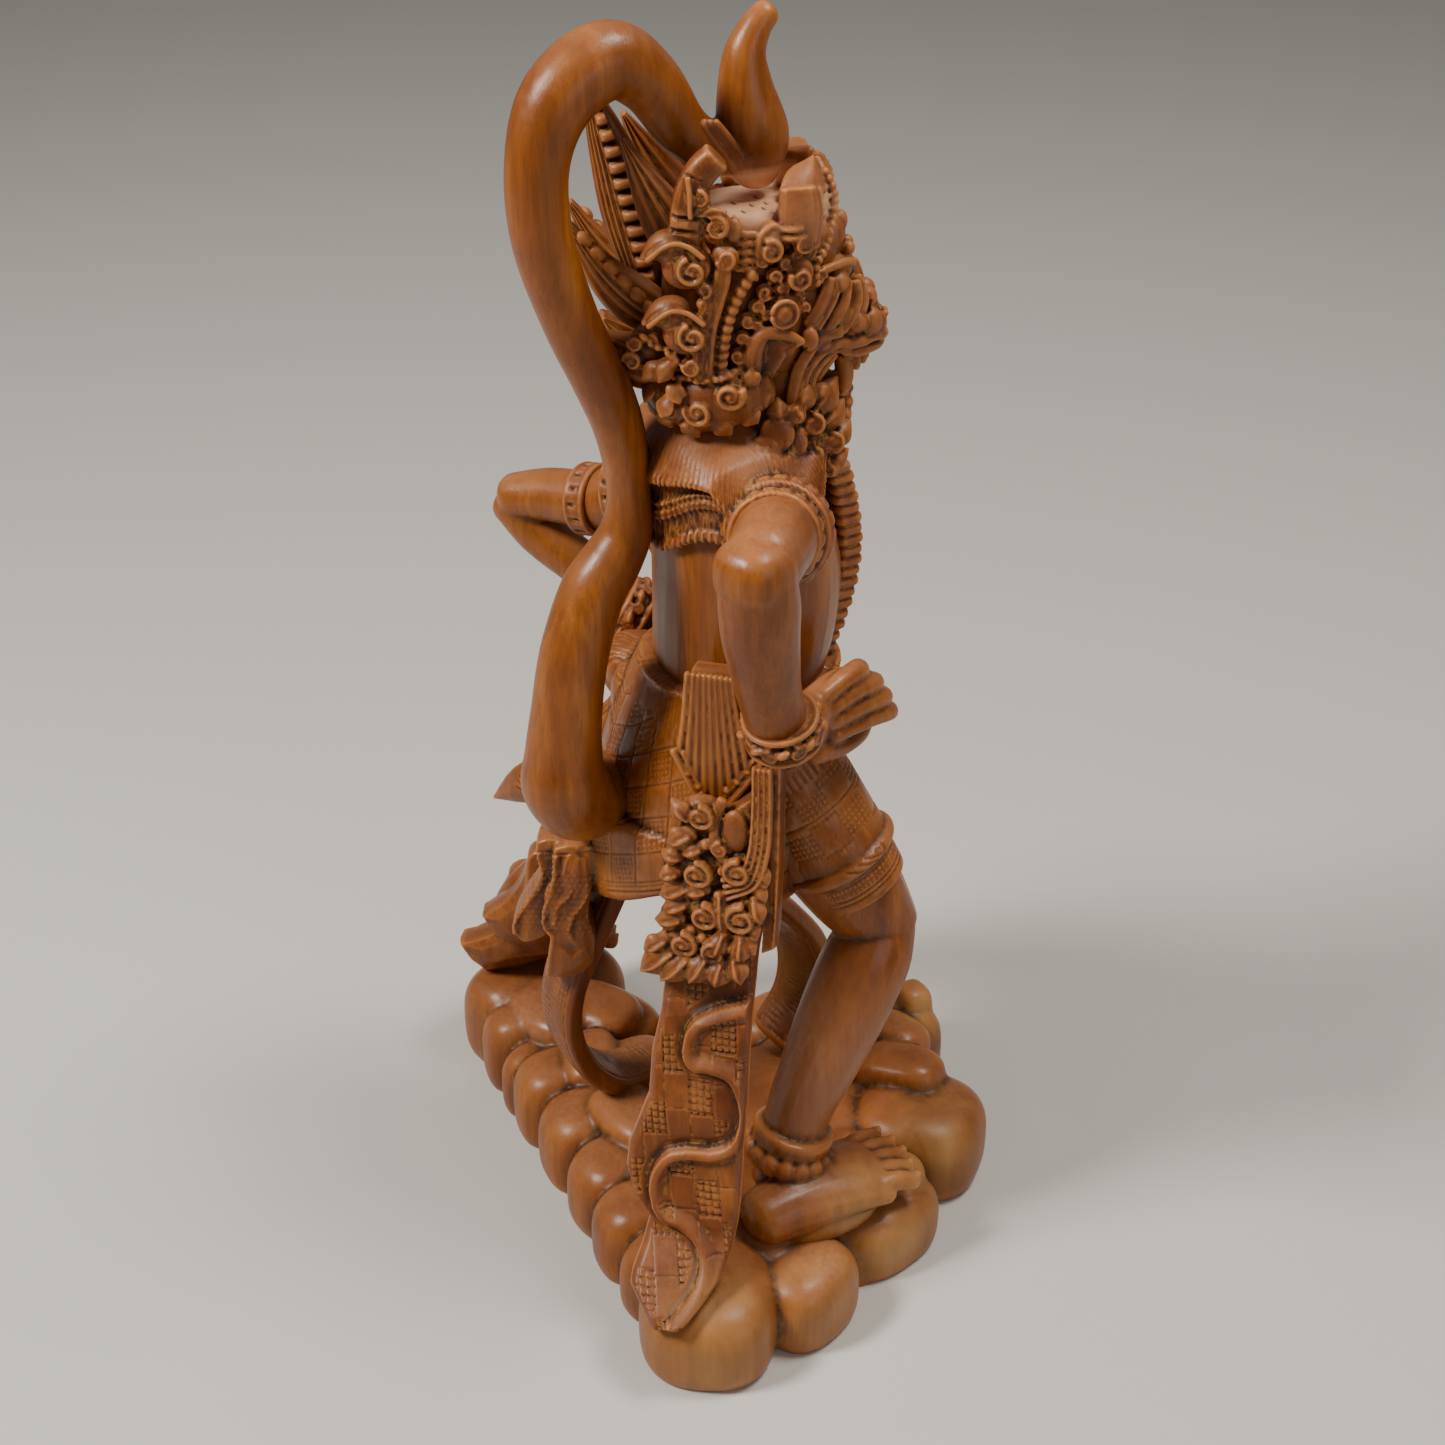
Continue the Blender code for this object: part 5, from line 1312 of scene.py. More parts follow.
def pendant():
    """Carved foliage under the tongue: a smooth drop, flowing flutes and pairs of spirals."""
    plate([(-6, 228), (-13, 222), (-14, 208), (-15.5, 190), (-18, 172), (-21, 158), (-12, 152), (-4, 157),
           (4, 155), (12, 160), (17.5, 174), (20, 196), (21, 222), (19.5, 236), (8, 226), (0, 222)],
          on_pendant, -12.0, 3.4, 0.93)
    plate([(20, 160), (25, 163), (24.8, 200), (24, 252), (20, 252), (20, 200)], on_pendant, -12.0, 1.0, 0.86)
    # Bulges that carry the spirals
    for u, z, r, h in ((-4, 221, 8, 8), (10, 201, 9, 7), (-5, 198, 9, 9), (-2, 180, 8.5, 8.5),
                       (12.5, 181, 8.5, 9), (-9, 166, 9, 8), (3, 164, 7.5, 7), (3.5, 210, 6, 6)):
        lobe(on_pendant(u, z, 1.4), (r, h, 5.2), axes=basis(TONGUE_FACING), power=2.3)
    # The drop and the flutes that run down round it to a spiral
    lobe(on_pendant(8.4, 216.5, 3.6), (5.4, 9.4, 3.4), axes=basis(TONGUE_FACING))
    for k in range(4):
        pendant_roll([(14.6 + 2.0 * k, 243, 2.0), (15.4 + 2.1 * k, 227, 4.4), (14.8 + 2.2 * k, 211, 5.2),
                      (11.0 + 2.2 * k, 199.5 - 1.0 * k, 5.6), (4.5 + 0.8 * k, 197.0 - 2.6 * k, 5.6)], 2.2,
                     0.95)
    pendant_roll([(3.5, 229, 3.6), (0.8, 220, 5.0), (2.2, 209, 5.6), (6.5, 204, 5.4)], 1.7, 2.2)
    for u, z, radius, hand, out in ((10.6, 201.5, 6.4, 1.0, 6.6), (-4.1, 222.5, 6.0, -1.0, 6.2),
                                    (3.5, 210.0, 3.8, 1.0, 6.4), (-5.0, 198.5, 6.8, -1.0, 6.6),
                                    (-1.6, 180.5, 6.6, -1.0, 6.6), (12.8, 181.5, 7.2, 1.0, 6.6),
                                    (-9.0, 166.5, 6.4, -1.0, 6.0), (3.0, 164.5, 5.4, 1.0, 6.2)):
        scroll(on_pendant(u, z, out), TONGUE_FACING, (0, 0, 1), radius, 1.35, hand, bead=0.36)
    for u, z, tu, tz, w in ((-8, 214, -16.5, 209, 5.6), (-9, 191, -19, 186, 5.8), (-9, 221, -15, 227, 4.6),
                            (-12, 204, -18, 205, 4.6), (-11, 177, -20, 175, 5.2), (-9, 184, -18, 180, 4.4),
                            (4, 190, 6, 172, 4.6), (-4, 209, -11, 206, 4.2), (-2, 191, -10, 190, 4.2),
                            (6, 173, 3, 162, 4.8), (13, 172, 13, 161, 4.6), (-13, 162, -25, 151, 6.4),
                            (-7, 160, -17, 148, 5.8), (0, 161, -6, 149, 5.6), (6, 160, 4, 149, 5.4),
                            (11, 163, 14, 152, 5.0), (-16, 167, -24, 161, 5.0), (17, 190, 20, 180, 4.0),
                            (-13, 197, -19, 195, 4.4)):
        base = on_pendant(u, z, 4.4)
        tip = on_pendant(tu, tz, 3.6)
        across = np.cross(TONGUE_FACING, unit(tip - base))
        leaf(base, tip, across, w, 3.4, TONGUE_FACING * 2.0, 0.45)
        middle = (base + tip) / 2 + TONGUE_FACING * 5.2
        tube([(*(base + TONGUE_FACING * 3.6), 0.8, 1.0), (*middle, 0.9, 1.0),
              (*(tip + TONGUE_FACING * 1.8), 0.6, 0.7)], across, sides=8, steps=4)
    for k in range(9):
        t = k / 8.0
        u, z = 20.4 - 3.6 * t, 201 - 32 * t
        if k % 2:
            ball(on_pendant(u, z, 4.6), 2.3)
        else:
            leaf(on_pendant(u - 2.5, z + 4, 4.0), on_pendant(u + 1.8, z - 3.6, 4.4), TONGUE_ACROSS, 3.0, 2.4,
                 TONGUE_FACING, 0.5, steps=6)
    for u, z, r in ((3.5, 190, 2.2), (6.0, 173, 2.2), (-6.5, 172.5, 2.0), (-8.5, 188.5, 2.0), (-2, 211, 2.2),
                    (-11, 210.5, 2.0), (4.4, 200.5, 1.8), (-2.0, 170.0, 2.0), (-12, 178, 1.8)):
        ball(on_pendant(u, z, 6.0), r)


# Long sash

SASH_FACING = np.array((-0.80, 0.60, 0.0))
SASH_ACROSS = np.cross((0, 0, 1), SASH_FACING)
SASH_SPINE = [(-50, 63, 172), (-56, 68.5, 156), (-67, 77, 138), (-78, 86, 104), (-85, 91, 76),
              (-94, 96, 53), (-105, 103, 29)]
# Height, left edge and right edge of the sash's face, across from its spine
SASH_EDGES = [(176, -9, 23), (159, -13.6, 21.5), (138, -14.5, 21), (123, -17.2, 21), (107, -17.4, 21.4),
              (97, -21, 21), (87, -24.7, 20.5), (77, -25.5, 20.4), (67, -22.6, 19.5), (59, -16.5, 18.5),
              (51, -18.9, 16.5), (41, -22.9, 12.5), (34, -24.0, 7.0), (27, -21.5, 0.0), (21, -18, -6)]
# The lower end leans out over the near boulder: how far, from which height down, over what drop, which way
LEAN = 19.0
LEAN_BELOW = 58.0
LEAN_SPAN = 37.0
LEAN_WAY = (-0.866, 0.5, 0.625)
SQUARE_WIDE = 9.5
SQUARE_TALL = 13.0
# The stepped fold that winds down the face: across, height
SASH_FOLD = [(24, 146), (14.2, 143.6), (5.8, 141.4), (-0.7, 138.3), (-4.6, 132.1), (-4.7, 124.1),
             (-0.6, 119.5), (5.2, 119.0), (13.0, 116.6), (17.2, 110.0), (18.6, 102.1), (16.0, 93.9),
             (8.4, 89.7), (-1.3, 89.4), (-10.0, 86.6), (-15.2, 78.1), (-15.7, 69.0), (-11.9, 61.4),
             (-4.0, 58.1), (1.8, 53.6), (3.8, 45.8), (0.8, 37.7), (-6.0, 30.0)]


def on_sash(u, z, out):
    """Points u across the sash, at height z and out from its spine."""
    x, y, height = np.asarray(SASH_SPINE, float).T
    spine = np.stack([np.interp(-z, -height, x), np.interp(-z, -height, y), z], axis=-1)
    return spine + u[:, :, None] * SASH_ACROSS + out[:, :, None] * SASH_FACING


def long_sash():
    """The cloth's slab as a fine grid, its face in steps along the winding fold."""
    step = 0.5
    heights = np.arange(172.0, 20.5, -step)
    cells = int(44.0 / step)
    around = np.arange(cells + 1) / cells
    table = np.asarray(SASH_EDGES, float)
    left = np.interp(-heights, -table[:, 0], table[:, 1])
    right = np.interp(-heights, -table[:, 0], table[:, 2])
    share = 0.5 - 0.5 * np.cos(np.pi * around)
    share = 0.35 * share + 0.65 * around
    u = left[:, None] * (1 - share)[None, :] + right[:, None] * share[None, :]
    z = np.repeat(heights[:, None], cells + 1, axis=1)
    edge = np.minimum(u - left[:, None], right[:, None] - u)
    rounding = 1.0 - np.clip(1.0 - edge / 3.4, 0.0, 1.0) ** 2.2
    lift = sash_lift(u, z)
    end = 1.0 - np.clip((27.0 - z) / 6.0, 0.0, 1.0) ** 2 * 0.85
    front = (5.6 + lift) * rounding * end
    back = -4.0 * rounding[:, ::-6]
    grid = np.concatenate([on_sash(u, z, front), on_sash(u[:, ::-6], z[:, ::-6], back)[:, 1:-1]], axis=1)
    lean = LEAN * np.clip((LEAN_BELOW - grid[:, :, 2]) / LEAN_SPAN, 0.0, 1.0) ** 1.3
    lean[:, cells + 1:] *= 0.5
    grid = grid + lean[:, :, None] * LEAN_WAY
    rings, sides = grid.shape[:2]
    faces = [tuple(reversed(face)) for face in ring_faces(rings, sides)]
    faces.append(tuple(range(sides)))
    faces.append(tuple(reversed(range((rings - 1) * sides, rings * sides))))
    add(grid.reshape(-1, 3), faces)


def fold_distance(u, z):
    """Signed distance to the winding fold: positive on its right as it falls."""
    line = smooth([(a, b, 0.0) for a, b in SASH_FOLD], 8)[:, :2]
    best = np.full(u.shape, 1e9)
    signed = np.zeros(u.shape)
    for a, b in zip(line[:-1], line[1:]):
        span = b - a
        du, dz = u - a[0], z - a[1]
        t = np.clip((du * span[0] + dz * span[1]) / (span @ span), 0.0, 1.0)
        gap = np.hypot(du - t * span[0], dz - t * span[1])
        side = np.sign(span[0] * dz - span[1] * du)
        nearer = gap < best
        best = np.where(nearer, gap, best)
        signed = np.where(nearer, side * gap, signed)
    return signed


def sash_lift(u, z):
    """Height of the sash's face over its slab: the rolled fold, the step behind it, the hatched squares."""
    gap = fold_distance(u, z)
    rim = 3.0 * groove(gap - 2.4, 4.6)
    recess = -3.0 * np.exp(-np.clip(-gap, 0.0, 99.0) / 6.0) * (gap < 0.2)
    lift = rim + recess
    column = np.floor((u + 0.10 * z) / SQUARE_WIDE)
    row = np.floor(z / SQUARE_TALL + 0.16 * column)
    hatched = ((column + row).astype(int) % 3 == 0) & (np.abs(gap) > 3.4)
    lines = np.maximum(groove(repeat(u + 0.10 * z, 2.6), 0.6), groove(repeat(z + 0.1 * u, 2.6), 0.6))
    lift = lift - 0.75 * hatched * lines
    border = np.maximum(groove(repeat(u + 0.10 * z, SQUARE_WIDE), 0.6),
                        groove((z / SQUARE_TALL + 0.16 * column) % 1.0 * SQUARE_TALL - 0.6, 0.7))
    return lift - 0.45 * border * (np.abs(gap) > 3.4)


# Front and rear sashes

FRONT_SASH = [(8, 36, 176, 13, 5), (8, 24, 150, 15, 5), (8, 12, 129, 16, 5), (8, -1, 113, 16, 5),
              (8, -13, 95, 16, 5), (8, -19, 75, 15, 5), (8, -17, 55, 14, 5.5), (8, -5, 38, 13, 6)]
REAR_SASH = [(9, 60, 186, 12, 5), (10, 72, 160, 13, 5), (10, 86, 132, 13, 5), (10, 97, 108, 13, 5),
             (10, 99, 86, 13, 5), (12, 91, 62, 13, 5), (15, 76, 44, 13, 5.5), (18, 58, 38, 12, 6),
             (20, 44, 36, 10, 6)]


def banded(rows, side, spacing):
    """A sash whose broad faces are hatched between plain raised edges."""
    half = np.mean([row[3] for row in rows])

    def skin(u, v, angle):
        across = np.sign(np.cos(angle)) * np.abs(np.cos(angle)) ** 0.57 * half
        face = np.abs(np.sin(angle)) > 0.2
        inner = np.abs(across) < half - 3.2
        lines = np.maximum(groove(repeat(across, spacing), 0.7), groove(repeat(v, spacing), 0.7))
        checks = (np.floor(across / 9.0).astype(int) + np.floor(v / 12.0).astype(int)) % 2 == 0
        edge = 0.6 * groove(np.abs(across) - (half - 2.6), 0.9)
        return -(0.45 * lines * inner * checks + edge) * face

    tube(rows, side, sides=110, steps=34, power=3.5, relief=skin)


def small_sashes():
    banded(FRONT_SASH, (0.95, 0.28, 0), 2.6)
    banded(REAR_SASH, (1, 0, 0), 2.6)


# Ribbon ends under the tail and the smooth train beyond them

FLAP_AT = np.array((4.0, 98.0, 0.0))
TRAIN_AT = np.array((96.2, 88.5, 0.0))
BEHIND = np.array((-0.866, 0.5, 0.0))
BESIDE = np.array((0.5, 0.866, 0.0))


def on_flap(u, z, out):
    return FLAP_AT + BESIDE * u + np.array((0, 0, z)) + BEHIND * (out + 0.05 * (177 - z))


def on_train(u, z, out):
    return TRAIN_AT + BESIDE * u + np.array((0, 0, z)) + BEHIND * (out - 0.006 * (u + 10) ** 2)


def ribbon_ends():
    """Two ribbon ends that hang below the tail."""
    # A rounded ribbon that swings out to the left, its dark underside turned up at the foot
    plate(rounded([(-6, 182), (10, 182), (9.5, 166), (16, 154), (21, 144), (21.5, 138), (17.5, 133),
                   (11, 135), (6.5, 139), (5.5, 148), (-1, 160), (-5, 172)]), on_flap, -13.0, 1.0, 0.93, 1.2)
    tube([(*on_flap(9.6, 176, 1.0), 1.3, 1.3), (*on_flap(8.8, 165, 1.4), 1.3, 1.3),
          (*on_flap(14.6, 154, 1.4), 1.3, 1.3), (*on_flap(20.2, 145, 1.2), 1.2, 1.2),
          (*on_flap(20.8, 138.5, 1.2), 1.1, 1.1)], BEHIND, sides=10, steps=6)
    # A broader one over it, folded to a point
    plate(rounded([(-14, 182), (3, 182), (4.5, 168), (9, 153), (9, 144), (5.5, 140), (7.5, 130), (8.9, 119.0),
                   (8.5, 118.5), (-1, 119), (-9.5, 124.5), (-11.6, 138), (-9.5, 150), (-12, 166)], 3),
          on_flap, -11.0, 5.0, 0.93, 1.4)
    lobe(on_flap(-4, 164, 4.5), (6.0, 16, 2.6), axes=basis(BEHIND))
    lobe(on_flap(4.5, 154, 4.0), (4.0, 12, 2.6), axes=basis(BEHIND))
    for line in ([(2.6, 178, 5.4), (4.0, 166, 5.8), (8.0, 152, 5.6), (8.2, 144.5, 5.2), (5.0, 140, 5.4)],
                 [(5.0, 140, 5.4), (6.2, 131, 5.6), (7.6, 121, 4.6)],
                 [(-2, 176, 5.2), (-3, 163, 6.4), (2.4, 155, 6.0), (4.6, 146, 5.6)],
                 [(-8.5, 176, 5.0), (-8.8, 160, 5.8), (-3, 150, 6.2), (-1.5, 141, 6.0), (-7, 133, 5.0)]):
        tube([(*on_flap(*point), 1.1, 1.3) for point in line], BEHIND, sides=10, steps=6)
    plate(rounded([(5.6, 138.5), (-3, 133.5), (-8.0, 137.5), (-10.6, 127), (-1, 121.0), (7.8, 120)], 3),
          on_flap, 2.0, 6.0, 0.86, 1.2)


def train():
    """Two smooth broad points that sweep back from the far hip over the heel."""
    upper = [(-16.9, 116.6), (-12.6, 105.1), (-6.0, 93.0), (7.6, 80.0), (7.6, 79.4), (3.0, 71.0),
             (-2.0, 67.0), (-12.0, 62.0), (-26, 60), (-36, 84), (-36, 116)]
    lower = [(4.4, 68.5), (20.0, 60.0), (19.9, 59.4), (12.0, 49.5), (-2.5, 54.2), (-14, 56.4), (-26, 58.6),
             (-36, 68.9), (-27, 78.5), (-6.2, 78.5)]
    plate(rounded(upper), on_train, -10.0, 1.5, 0.95, 4.0)
    plate(rounded(lower), on_train, -13.0, -1.0, 0.95, 3.0)


# Wood

def fed(tree, kind, source, socket, output, **inputs):
    """A node with one socket linked to source and the named inputs set."""
    made = tree.nodes.new(kind)
    for name, value in inputs.items():
        made.inputs[name.replace("_", " ")].default_value = value
    tree.links.new(source, made.inputs[socket])
    return made.outputs[output]


def ramp(tree, source, stops):
    made = tree.nodes.new("ShaderNodeValToRGB")
    band = made.color_ramp
    while len(band.elements) < len(stops):
        band.elements.new(0.5)
    for element, (place, colour) in zip(band.elements, stops):
        element.position = place
        element.color = (*colour, 1.0)
    tree.links.new(source, made.inputs["Fac"])
    return made.outputs["Color"]


def mixed(tree, share, a, b):
    made = tree.nodes.new("ShaderNodeMix")
    made.data_type = "RGBA"
    made.clamp_factor = True
    for socket, value in ((made.inputs["Factor"], share), (made.inputs["A"], a), (made.inputs["B"], b)):
        if isinstance(value, bpy.types.NodeSocket):
            tree.links.new(value, socket)
        elif isinstance(value, tuple):
            socket.default_value = (*value, 1.0)
        else:
            socket.default_value = value
    return made.outputs["Result"]


def sums(tree, how, a, b, c=None, clamp=False):
    made = tree.nodes.new("ShaderNodeMath")
    made.operation = how
    made.use_clamp = clamp
    for socket, value in zip(made.inputs, (a, b, c)):
        if value is None:
            continue
        if isinstance(value, bpy.types.NodeSocket):
            tree.links.new(value, socket)
        else:
            socket.default_value = value
    return made.outputs[0]


def span(tree, value, low, high, out_low=0.0, out_high=1.0):
    """A value stretched from low..high to out_low..out_high."""
    return fed(tree, "ShaderNodeMapRange", value, "Value", "Result", From_Min=low, From_Max=high,
               To_Min=out_low, To_Max=out_high)


def noise(tree, vector, scale, detail, rough, twist=0.0):
    return fed(tree, "ShaderNodeTexNoise", vector, "Vector", "Fac", Scale=scale, Detail=detail,
               Roughness=rough, Distortion=twist)


def stretched(tree, vector, scale):
    return fed(tree, "ShaderNodeMapping", vector, "Vector", "Vector", Scale=scale)


def marked(tree, label):
    made = tree.nodes.new("ShaderNodeAttribute")
    made.attribute_type = "GEOMETRY"
    made.attribute_name = label
    return made.outputs["Fac"]


def wood(name, base, dark, light, polish, dust_and_edge_highlight):
    """Polished hardwood: vertical grain, painted shade in the recesses, wax dust in the cuts, rubbed wear and
    painted highlight on the edges, painted pink sheen on upward faces.
    """
    made = bpy.data.materials.new(name)
    made.use_nodes = True
    tree = made.node_tree
    tree.nodes.clear()
    out = tree.nodes.new("ShaderNodeOutputMaterial")
    shader = tree.nodes.new("ShaderNodeBsdfPrincipled")
    tree.links.new(shader.outputs["BSDF"], out.inputs["Surface"])
    place = tree.nodes.new("ShaderNodeTexCoord").outputs["Object"]
    grain = noise(tree, stretched(tree, place, (1.0, 1.0, 0.06)), 420.0, 5.0, 0.62, 0.3)
    streak = noise(tree, stretched(tree, place, (1.0, 1.0, 0.10)), 75.0, 4.0, 0.55, 0.6)
    cloud = noise(tree, place, 16.0, 3.0, 0.5, 0.4)
    pore = noise(tree, stretched(tree, place, (1.0, 1.0, 0.035)), 1500.0, 3.0, 0.6)
    cavity = marked(tree, "cavity")
    hollow = marked(tree, "hollow")
    pale = marked(tree, "sap")
    sheen_wear_mask = marked(tree, "sheen_and_wear")
    mix = sums(tree, "MULTIPLY_ADD", streak, 0.55, sums(tree, "MULTIPLY", cloud, 0.45))
    colour = ramp(tree, mix, [(0.30, dark), (0.50, base), (0.70, light)])
    colour = mixed(tree, span(tree, grain, 0.38, 0.62, 0.0, 0.42), colour, tuple(0.45 * c for c in base))
    colour = mixed(tree, span(tree, pore, 0.60, 0.70, 0.0, 0.45), colour, tuple(0.25 * c for c in base))
    sapwood = ramp(tree, mix, [(0.32, (0.30, 0.125, 0.028)), (0.66, (0.52, 0.29, 0.095))])
    colour = mixed(tree, pale, colour, sapwood)
    # Painted highlight: upward faces and the marked patches are tinted towards a pale pink sheen.
    pink = ramp(tree, grain, [(0.35, (0.30, 0.115, 0.055)), (0.65, (0.46, 0.215, 0.115))])
    normal = tree.nodes.new("ShaderNodeNewGeometry").outputs["Normal"]
    upward = span(tree, fed(tree, "ShaderNodeSeparateXYZ", normal, "Vector", "Z"), 0.35, 0.95)
    sheen = sums(tree, "MULTIPLY", upward, span(tree, cloud, 0.35, 0.65, 0.25, 0.8))
    sheen = sums(tree, "MAXIMUM", sheen, sheen_wear_mask, clamp=True)
    colour = mixed(tree, sums(tree, "MULTIPLY", sheen, 0.66), colour, pink)
    # Painted highlight: the strongest patches, such as the crown's top, which the lamps leave in shade, go
    # paler still.
    colour = mixed(tree, span(tree, sheen_wear_mask, 0.9, 1.35, 0.0, 0.95), colour, (0.84, 0.50, 0.31))
    # Painted shade: broad recesses are darkened towards a deep tint of the dark colour, less where the
    # highlight patches lie.
    kept = sums(tree, "SUBTRACT", 1.0, sums(tree, "MULTIPLY", sheen_wear_mask, 0.8))
    shade = sums(tree, "MULTIPLY", span(tree, hollow, 0.0, 0.75), kept)
    colour = mixed(tree, sums(tree, "MULTIPLY", shade, 0.88), colour, tuple(0.22 * c for c in dark))
    # Painted shade: fine cuts are darkened almost to black.
    deep = span(tree, cavity, 0.10, 0.9)
    patch = span(tree, noise(tree, place, 240.0, 3.0, 0.6), 0.45, 0.60)
    colour = mixed(tree, sums(tree, "MULTIPLY", deep, 0.80), colour, (0.026, 0.0055, 0.0015))
    rim = sums(tree, "MULTIPLY", span(tree, cavity, 0.04, 0.22), span(tree, cavity, 0.75, 0.35))
    dust = sums(tree, "MULTIPLY", sums(tree, "MULTIPLY", rim, patch), 0.55 * dust_and_edge_highlight)
    colour = mixed(tree, dust, colour, (0.42, 0.185, 0.030))
    # Rubbed wear and painted highlight: ridges are lightened towards a bright tint of the light colour, more
    # on the gilded wood.
    ridge = span(tree, cavity, -0.08, -0.75)
    bright = tuple(min(1.0, 1.5 * c + 0.03) for c in light)
    colour = mixed(tree, sums(tree, "MULTIPLY", ridge, 0.35 + 0.35 * dust_and_edge_highlight), colour, bright)
    tree.links.new(colour, shader.inputs["Base Color"])
    rough = sums(tree, "ADD", span(tree, streak, 0.3, 0.7, polish - 0.05, polish + 0.09),
                 sums(tree, "MULTIPLY", span(tree, cavity, 0.0, 0.6), 0.25))
    rough = sums(tree, "ADD", rough, sums(tree, "MULTIPLY", pale, 0.08), clamp=True)
    tree.links.new(rough, shader.inputs["Roughness"])
    shader.inputs["Specular IOR Level"].default_value = 0.32
    shader.inputs["Coat Weight"].default_value = 0.07
    shader.inputs["Coat Roughness"].default_value = 0.28
    height = sums(tree, "MULTIPLY_ADD", grain, 0.55, sums(tree, "MULTIPLY", pore, 0.35))
    tooled = noise(tree, place, 95.0, 2.0, 0.5)
    height = sums(tree, "MULTIPLY_ADD", tooled, 0.9, height)
    bump = fed(tree, "ShaderNodeBump", height, "Height", "Normal", Strength=0.30, Distance=0.0006)
    tree.links.new(bump, shader.inputs["Normal"])
    materials[name] = made


def paint(points, spots):
    """Soft-edged patches on a piece: centre, radii and how strong."""
    value = np.zeros(len(points))
    for centre, radii, amount in spots:
        gap = np.linalg.norm((points - np.asarray(centre, float)) / np.asarray(radii, float), axis=1)
        value = np.maximum(value, amount * np.clip(1.6 - 1.2 * gap, 0.0, 1.0))
    return value


SAP_SPOTS = [((-110, 98, 18), (26, 24, 26), 0.9), ((-114, 54, 14), (20, 20, 22), 0.7),
             ((-104, 10, 16), (20, 26, 18), 0.7), ((-70, -40, 20), (26, 22, 22), 0.6),
             ((-88, -26, 34), (20, 22, 16), 0.8), ((-14, -65, 42), (14, 14, 14), 1.0),
             ((-106, -14, 40), (16, 20, 12), 0.85), ((-100, 20, 42), (14, 22, 14), 0.75),
             ((8, -14, 84), (20, 14, 30), 0.35)]
# Patches that are partly rubbed wear and partly painted pink highlight; the strongest lightens the crown's
# top, which the lamps leave in shade.
SHEEN_WEAR_SPOTS = [((-22, 22, 438), (30, 30, 12), 1.6), ((-88, 62, 347), (16, 14, 8), 0.8),
              ((-73, 20, 98), (24, 32, 42), 0.95), ((-31, 20, 420), (12, 14, 30), 0.25),
              ((-14, 66, 300), (8, 20, 60), 0.25), ((76, 82, 38), (24, 20, 12), 0.8),
              ((-30, -48, 40), (20, 14, 12), 0.7), ((-50, 84, 40), (40, 14, 10), 0.5)]


def dress(thing):
    """Mark where the pale sapwood lies, and the patches of rubbed wear and painted highlight."""
    points = positions(thing.data)
    store(thing.data, "sap", paint(points, SAP_SPOTS))
    store(thing.data, "sheen_and_wear", paint(points, SHEEN_WEAR_SPOTS))


# Base, dark and light colour, roughness, and how much pale dust the cuts hold, which also sets how much
# painted highlight the ridges get
wood("carved_wood", (0.255, 0.070, 0.009), (0.115, 0.022, 0.003), (0.420, 0.145, 0.022), 0.34, 0.35)
wood("gilded_wood", (0.200, 0.050, 0.007), (0.085, 0.015, 0.002), (0.350, 0.118, 0.020), 0.42, 1.0)


# Pieces

def piece(name, shapes, most, material, voxel, ease=1, relief=None):
    """A piece from its shapes, with no more than the given number of triangles."""
    for shape in shapes:
        shape()
    thing = finish_piece(name, material, voxel, ease, relief, most)
    dress(thing)
    return thing


boulders = piece("boulder_base", (base,), 60000, "carved_wood", 1.35)
piece("torso_and_arms", (trunk, arms), 60000, "carved_wood", 1.0, 2)
piece("legs_and_feet", (legs, anklets), 62000, "carved_wood", 1.05)
piece("tail", (tail,), 30000, "carved_wood", 1.2, 2)
piece("face", (face,), 110000, "gilded_wood", 0.58, 1, face_grooves)
piece("crown", (crown,), 165000, "gilded_wood", 0.6, 0, crown_grooves)
piece("crown_wings", (wings,), 60000, "gilded_wood", None)
piece("cape_and_bands", (ornaments,), 115000, "gilded_wood", 0.72, 0, cape_grooves)
piece("skirt", (skirt, ribbon_ends, train), 110000, "carved_wood", 0.7, 1, skirt_relief)
piece("belt_tongue", (tongue,), 28000, "carved_wood", 0.5, 0)
piece("pendant", (pendant,), 80000, "gilded_wood", 0.55, 0)
piece("long_sash", (long_sash,), 60000, "gilded_wood", None)
piece("small_sashes", (small_sashes,), 30000, "gilded_wood", None)
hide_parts("hanuman_statue")


# Floor, light and camera

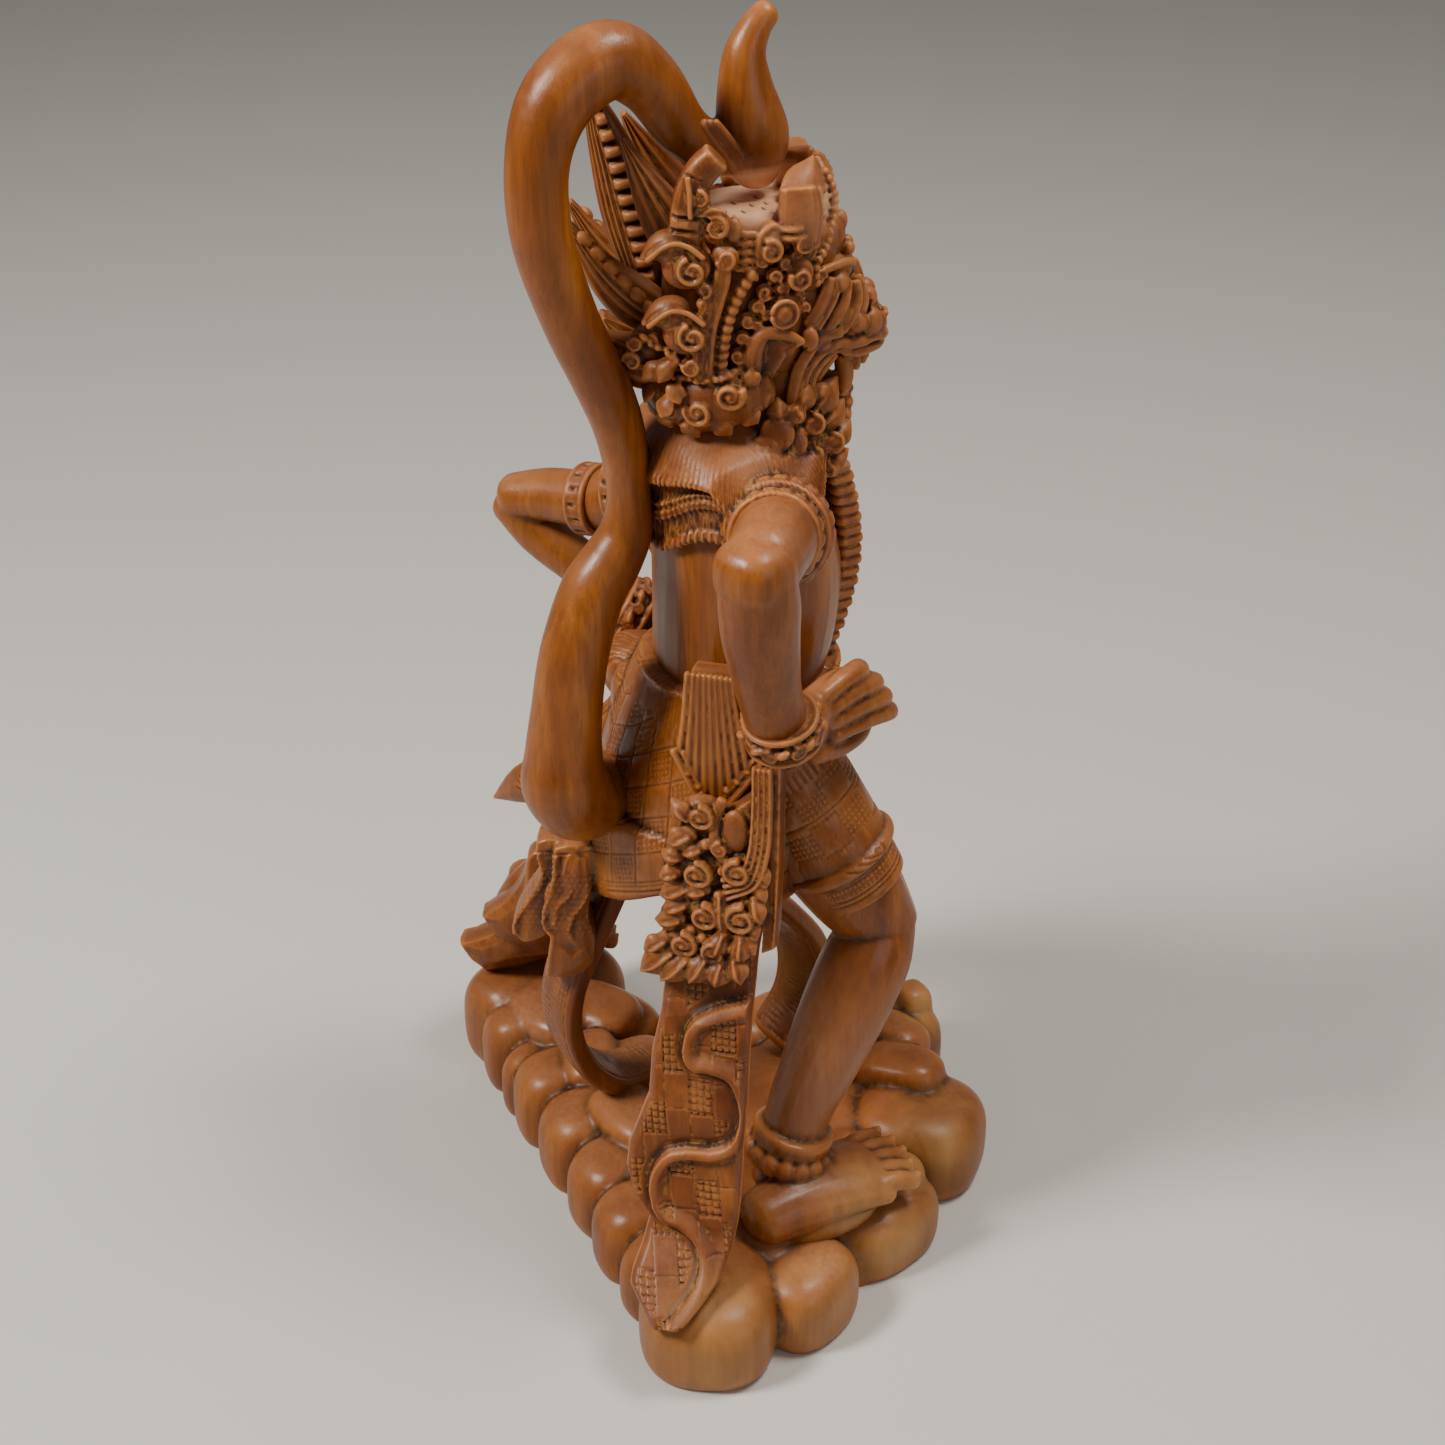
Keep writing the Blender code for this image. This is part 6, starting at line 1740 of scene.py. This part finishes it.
def floor():
    half = 6.0
    mesh = bpy.data.meshes.new("floor")
    mesh.from_pydata([(-half, -half, 0), (half, -half, 0), (half, half, 0), (-half, half, 0)], [],
                     [(0, 1, 2, 3)])
    thing = bpy.data.objects.new("floor", mesh)
    bpy.context.scene.collection.objects.link(thing)
    plain = bpy.data.materials.new("studio_floor")
    plain.use_nodes = True
    shader = plain.node_tree.nodes["Principled BSDF"]
    shader.inputs["Base Color"].default_value = (0.62, 0.61, 0.59, 1.0)
    shader.inputs["Roughness"].default_value = 0.85
    mesh.materials.append(plain)


def lamp(name, place, target, size, watts, colour):
    data = bpy.data.lights.new(name, "AREA")
    data.shape = "DISK"
    data.size = size
    data.energy = watts
    data.color = colour
    thing = bpy.data.objects.new(name, data)
    bpy.context.scene.collection.objects.link(thing)
    thing.location = place
    thing.rotation_euler = (Vector(target) - Vector(place)).to_track_quat("-Z", "Y").to_euler()


# Camera found from the photo: image side and focal length in pixels, place in metres, turn and tilt
IMAGE_SIDE = 1445.0
FOCAL_LENGTH = 2200.0
SENSOR_WIDTH = 36.0
CAMERA_AT = (-0.642, 0.3985, 0.680)
CAMERA_TURN = 30.0
CAMERA_TILT = 32.0


def camera():
    data = bpy.data.cameras.new("camera")
    data.sensor_width = SENSOR_WIDTH
    data.lens = SENSOR_WIDTH * FOCAL_LENGTH / IMAGE_SIDE
    data.clip_start = 0.01
    thing = bpy.data.objects.new("camera", data)
    bpy.context.scene.collection.objects.link(thing)
    thing.location = CAMERA_AT
    heading, down = math.radians(CAMERA_TURN), math.radians(CAMERA_TILT)
    look = Vector((math.cos(heading) * math.cos(down), -math.sin(heading) * math.cos(down), -math.sin(down)))
    thing.rotation_euler = look.to_track_quat("-Z", "Y").to_euler()
    bpy.context.scene.camera = thing


def world():
    made_world = bpy.data.worlds.new("studio")
    made_world.use_nodes = True
    back = made_world.node_tree.nodes["Background"]
    back.inputs["Color"].default_value = (0.95, 0.92, 0.87, 1.0)
    back.inputs["Strength"].default_value = 0.17
    bpy.context.scene.world = made_world


floor()
world()
camera()
MIDDLE = (-0.02, 0.03, 0.26)
lamp("key", (0.15, 1.10, 1.35), MIDDLE, 0.40, 27.0, (1.0, 0.95, 0.86))
lamp("top", (-0.30, -0.40, 1.6), MIDDLE, 0.5, 15.0, (1.0, 0.93, 0.83))
lamp("fill", (-1.4, -0.2, 0.7), MIDDLE, 0.9, 3.4, (1.0, 0.96, 0.92))
